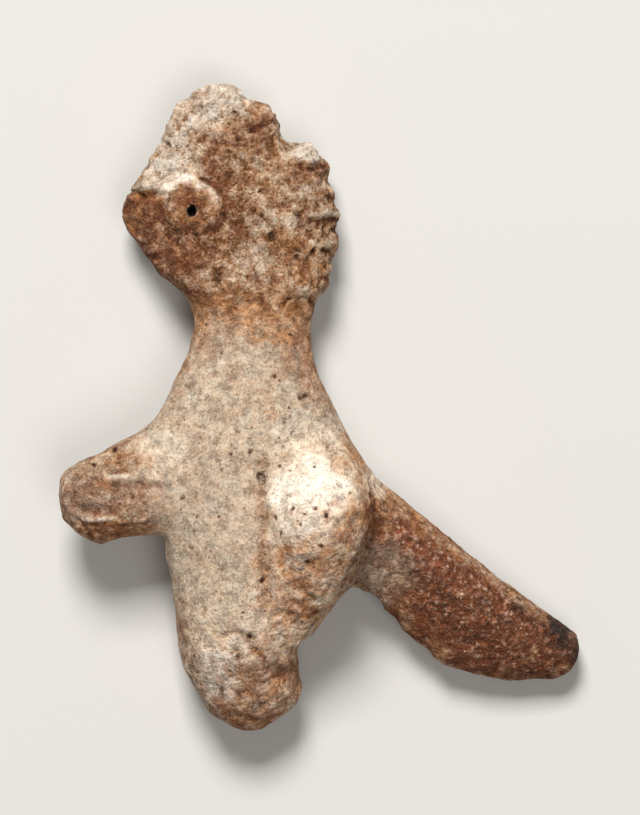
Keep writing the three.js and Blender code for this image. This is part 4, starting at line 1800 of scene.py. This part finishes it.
    def height(self, tree: ClayTree) -> bpy.types.NodeSocket:
        """Adds up the fine relief: grain, wiping streaks along the arm, grit and holes.

        Args:
            tree: The clay's tree.

        Returns:
            The bump's height.
        """
        turn, stretch = (0, 0, self.arm_turn), (self.arm_stretch, 1, 1)
        inputs = {"Vector": tree.place, "Rotation": turn, "Scale": stretch}
        along = tree.add("ShaderNodeMapping", inputs)
        streaks = tree.ramp(tree.noise(along.outputs[0], 0.9, 3, 0.6), 0.3, 0.7)
        ground = tree.blend((tree.mottle, 0.75), (tree.grain, 0.34))
        coarse = tree.math("MULTIPLY_ADD", tree.cover[Coat.COARSE], 1.2, 0.2)
        height = tree.math("MULTIPLY", ground, coarse)
        wiped = tree.math("MULTIPLY", streaks, tree.cover[Coat.GRIT])
        for value, weight in ((wiped, 0.5), (tree.grit, 0.35), (tree.pinholes, -0.9), (tree.brown, -0.3)):
            height = tree.math("MULTIPLY_ADD", value, weight, height)
        return height


@dataclass
class Figurine:
    """The whole figurine as one piece of fired clay."""

    voxel: float = 0.72
    settle_rounds: int = 14
    fine_rounds: int = 3
    merge_gap: float = 1e-6
    front_limit: float = -0.12
    pupil_reach: float = 1.8
    swells: Unevenness = Unevenness(0.35, 9, 2, 1.0)
    ripples: Unevenness = Unevenness(0.14, 2.6, 3, 2.0)
    tooth: Unevenness = Unevenness(0.07, 1.1, 2, 3.0)
    back_limit: float = -0.2
    dents: int = 90
    dent_seed: int = 5
    dent_width: Place = (0.5, 1.3)
    dent_depth: Place = (0.15, 0.45)
    dent_dirt: float = 0.5
    dent_dirt_width: float = 0.7
    first_slip: float = 0.6
    first_coarse: float = 0.5
    hollow_rounds: int = 6
    hollow_wear_and_shade: float = 0.32
    hollow_span: Place = (0.01, 0.22)
    hollow_grime_and_shade: float = 0.5
    hollow_darkness: float = 0.6
    deep_span: Place = (0.14, 0.45)
    ridge_span: Place = (0.03, 0.16)

    def __post_init__(self) -> None:
        """Lists the stretches of the body from the head to the foot."""
        self.eyes = (Eye(), Eye(side=Side.BACK, height=1.2, lip_height=0.35, lip_rough=0.2))
        self.limbs = (Head(), Nose(), Neck(), ShortArm(), Torso(), LongArm(), Bosom(), Foot())

    def build(self) -> bpy.types.Object:
        """Makes the piece.

        Returns:
            The dressed object, riding on the body.
        """
        piece = self.lump()
        clay = Clay(piece.data)
        clay.relax(self.fine_rounds)
        self.shape(clay)
        self.dress(clay)
        clay.finish()
        piece.data.materials.append(FiredClay().build())
        piece.data.shade_smooth()
        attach(piece, BODY)
        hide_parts(NODE)
        triangles = sum(len(face.vertices) - 2 for face in piece.data.polygons)
        LOG.info("%s: %d triangles", piece.name, triangles)
        return piece

    def lump(self) -> bpy.types.Object:
        """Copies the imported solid, evens its surface and refines what faces up.

        Returns:
            A new object with an even mesh.
        """
        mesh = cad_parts[NODE].data.copy()
        mesh.name = "clay_body"
        mesh.materials.clear()
        piece = bpy.data.objects.new("clay_body", mesh)
        bpy.context.scene.collection.objects.link(piece)
        self.edit(mesh, lambda form: bmesh.ops.remove_doubles(form, verts=form.verts, dist=self.merge_gap))
        remesh = piece.modifiers.new("even", "REMESH")
        remesh.mode = "VOXEL"
        remesh.voxel_size = self.voxel * MM
        even = bpy.data.meshes.new_from_object(piece.evaluated_get(bpy.context.evaluated_depsgraph_get()))
        piece.modifiers.clear()
        piece.data = even
        Clay(even).relax(self.settle_rounds)
        self.edit(even, self.refine)
        return piece

    @staticmethod
    def edit(mesh: bpy.types.Mesh, change: Callable[[bmesh.types.BMesh], object]) -> None:
        """Opens a mesh as a bmesh, changes it and writes it back.

        Args:
            mesh: The mesh.
            change: What is done to it.
        """
        form = bmesh.new()
        form.from_mesh(mesh)
        change(form)
        form.to_mesh(mesh)
        form.free()
        mesh.update()

    def refine(self, form: bmesh.types.BMesh) -> None:
        """Halves the mesh size where the figurine faces up, and again round the front pupil.

        Args:
            form: The clay's mesh.
        """
        form.normal_update()
        faces = [face for face in form.faces if face.normal.z > self.front_limit]
        edges = list({edge for face in faces for edge in face.edges})
        bmesh.ops.subdivide_edges(form, edges=edges, cuts=1, use_grid_fill=True)
        front = self.eyes[0]
        pupil = PHOTO.place(*front.pupil_at)
        reach = self.pupil_reach * front.pupil_radius * PHOTO.pixel()
        starts = ((edge, edge.verts[0]) for edge in form.edges)
        near = [edge for edge, end in starts if end.normal.z > 0 and (end.co - pupil).xy.length < reach]
        bmesh.ops.subdivide_edges(form, edges=near, cuts=1, use_grid_fill=True)

    def shape(self, clay: Clay) -> None:
        """Presses the hand's unevenness and the relief of every stretch into the clay.

        Args:
            clay: The clay.
        """
        self.swells.press(clay)
        self.ripples.press(clay)
        clay.settle()
        self.scatter_dents(clay)
        for limb in self.limbs:
            limb.shape(clay)
        for eye in self.eyes:
            eye.shape(clay)
        self.tooth.press(clay)
        clay.points[:, 2] = np.maximum(clay.points[:, 2], LOW.z)
        clay.settle()

    def scatter_dents(self, clay: Clay) -> None:
        """Presses small chance dents into the hidden back.

        Args:
            clay: The clay.
        """
        chance = np.random.default_rng(self.dent_seed)
        back = np.flatnonzero(clay.normals[:, 2] < self.back_limit)
        for index in chance.choice(back, self.dents, replace=False):
            middle = clay.points[index]
            distance = np.linalg.norm(clay.points - middle, axis=1) / MM
            width = chance.uniform(*self.dent_width)
            clay.press(chance.uniform(*self.dent_depth) * bell(distance, width))
            clay.stain(Coat.DIRT, 1, self.dent_dirt * bell(distance, width * self.dent_dirt_width))
        clay.settle()

    def dress(self, clay: Clay) -> None:
        """Covers the clay with slip and stains, then darkens hollows and lightens ridges, partly as grime
        and wear, partly as painted shade and painted highlights.

        Args:
            clay: The clay.
        """
        wobble = clay.roughness(4, 3, 7.0)
        dirt = clay.coats[Coat.DIRT].copy()
        clay.coats[Coat.SLIP][:] = self.first_slip
        clay.coats[Coat.COARSE][:] = self.first_coarse
        for limb in self.limbs:
            limb.dress(clay, wobble)
        for eye in self.eyes:
            eye.dress(clay, wobble)
        clay.coats[Coat.DIRT] = np.maximum(clay.coats[Coat.DIRT], dirt)
        hollow = clay.hollows(self.hollow_rounds)
        # Hollows lose slip and darken: partly grime and worn slip, partly painted shade for the warm light
        # that bounces in them.
        clay.coats[Coat.SLIP] -= self.hollow_wear_and_shade * smooth_step(*self.hollow_span, hollow)
        darkened = self.hollow_grime_and_shade * smooth_step(*self.deep_span, hollow)
        clay.stain(Coat.DIRT, self.hollow_darkness, darkened)
        # Ridges get the worn coat: partly wear, partly a painted highlight.
        clay.coats[Coat.WORN] = smooth_step(*self.ridge_span, -hollow)


@dataclass(frozen=True)
class Lamp:
    """A square soft light: its name, where it hangs and its side in metres, its power in watts."""

    name: str
    at: tuple[float, float, float]
    size: float
    power: float

    def hang(self) -> None:
        """Hangs the light, looking at the figurine."""
        data = bpy.data.lights.new(self.name, "AREA")
        data.size = self.size
        data.energy = self.power
        light = bpy.data.objects.new(self.name, data)
        light.location = self.at
        light.rotation_mode = "QUATERNION"
        light.rotation_quaternion = Vector(self.at).to_track_quat("Z", "Y")
        bpy.context.scene.collection.objects.link(light)


@dataclass
class Studio:
    """A plain pale floor, a soft key light above the head, a weaker fill and the camera."""

    floor_size: float = 3.0
    floor_colour: Colour = (192, 189, 184)
    floor_roughness: float = 0.9
    camera_height: float = 1.2
    sensor: float = 36.0
    key: Lamp = Lamp("key", (-0.3, 1.5, 1.9), 0.8, 88.0)
    fill: Lamp = Lamp("fill", (0.45, -0.8, 2.1), 1.2, 19.0)
    sky_colour: Light = (1, 0.95, 0.89, 1)
    sky_strength: float = 0.14

    def build(self) -> None:
        """Makes the floor, the lights, the sky and the camera."""
        self.floor()
        self.key.hang()
        self.fill.hang()
        self.sky()
        self.camera()
        bpy.context.scene.view_settings.view_transform = "Standard"

    def floor(self) -> None:
        """Lays the floor under the figurine."""
        form = bmesh.new()
        bmesh.ops.create_grid(form, x_segments=1, y_segments=1, size=self.floor_size / 2)
        mesh = bpy.data.meshes.new("floor")
        form.to_mesh(mesh)
        form.free()
        floor = bpy.data.objects.new("floor", mesh)
        bpy.context.scene.collection.objects.link(floor)
        material = bpy.data.materials.new("pale_paper")
        material.use_nodes = True
        tree = Tree(material.node_tree)
        inputs = {"Base Color": Finish.linear(self.floor_colour), "Roughness": self.floor_roughness}
        shader = tree.add("ShaderNodeBsdfPrincipled", inputs)
        tree.feed(tree.add("ShaderNodeOutputMaterial").inputs["Surface"], shader.outputs[0])
        mesh.materials.append(material)
        floor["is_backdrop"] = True

    def sky(self) -> None:
        """Gives the room a weak even light."""
        world = bpy.data.worlds.new("room")
        world.use_nodes = True
        background = world.node_tree.nodes["Background"]
        background.inputs["Color"].default_value = self.sky_colour
        background.inputs["Strength"].default_value = self.sky_strength
        bpy.context.scene.world = world

    def camera(self) -> None:
        """Looks straight down on the lying figurine, framed as in the photograph."""
        data = bpy.data.cameras.new("camera")
        camera = bpy.data.objects.new("camera", data)
        bpy.context.scene.collection.objects.link(camera)
        middle = (LOW.z + HIGH.z) / 2
        view = PHOTO.height * PHOTO.pixel()
        data.sensor_width = self.sensor
        data.lens = self.sensor * self.camera_height / view
        camera.location = PHOTO.place(PHOTO.width / 2, PHOTO.height / 2, middle + self.camera_height)
        bpy.context.scene.camera = camera


def main() -> None:
    """Builds the figurine and its studio."""
    logging.basicConfig(level=logging.INFO, format="%(name)s: %(message)s")
    Figurine().build()
    Studio().build()
    boxes = {"cad": CAD_BOX, "visual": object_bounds()}
    for name, (low, high) in boxes.items():
        LOG.info("%s box: %s mm", name, [round(side / MM, 2) for side in high - low])


if __name__ == "__main__":
    main()
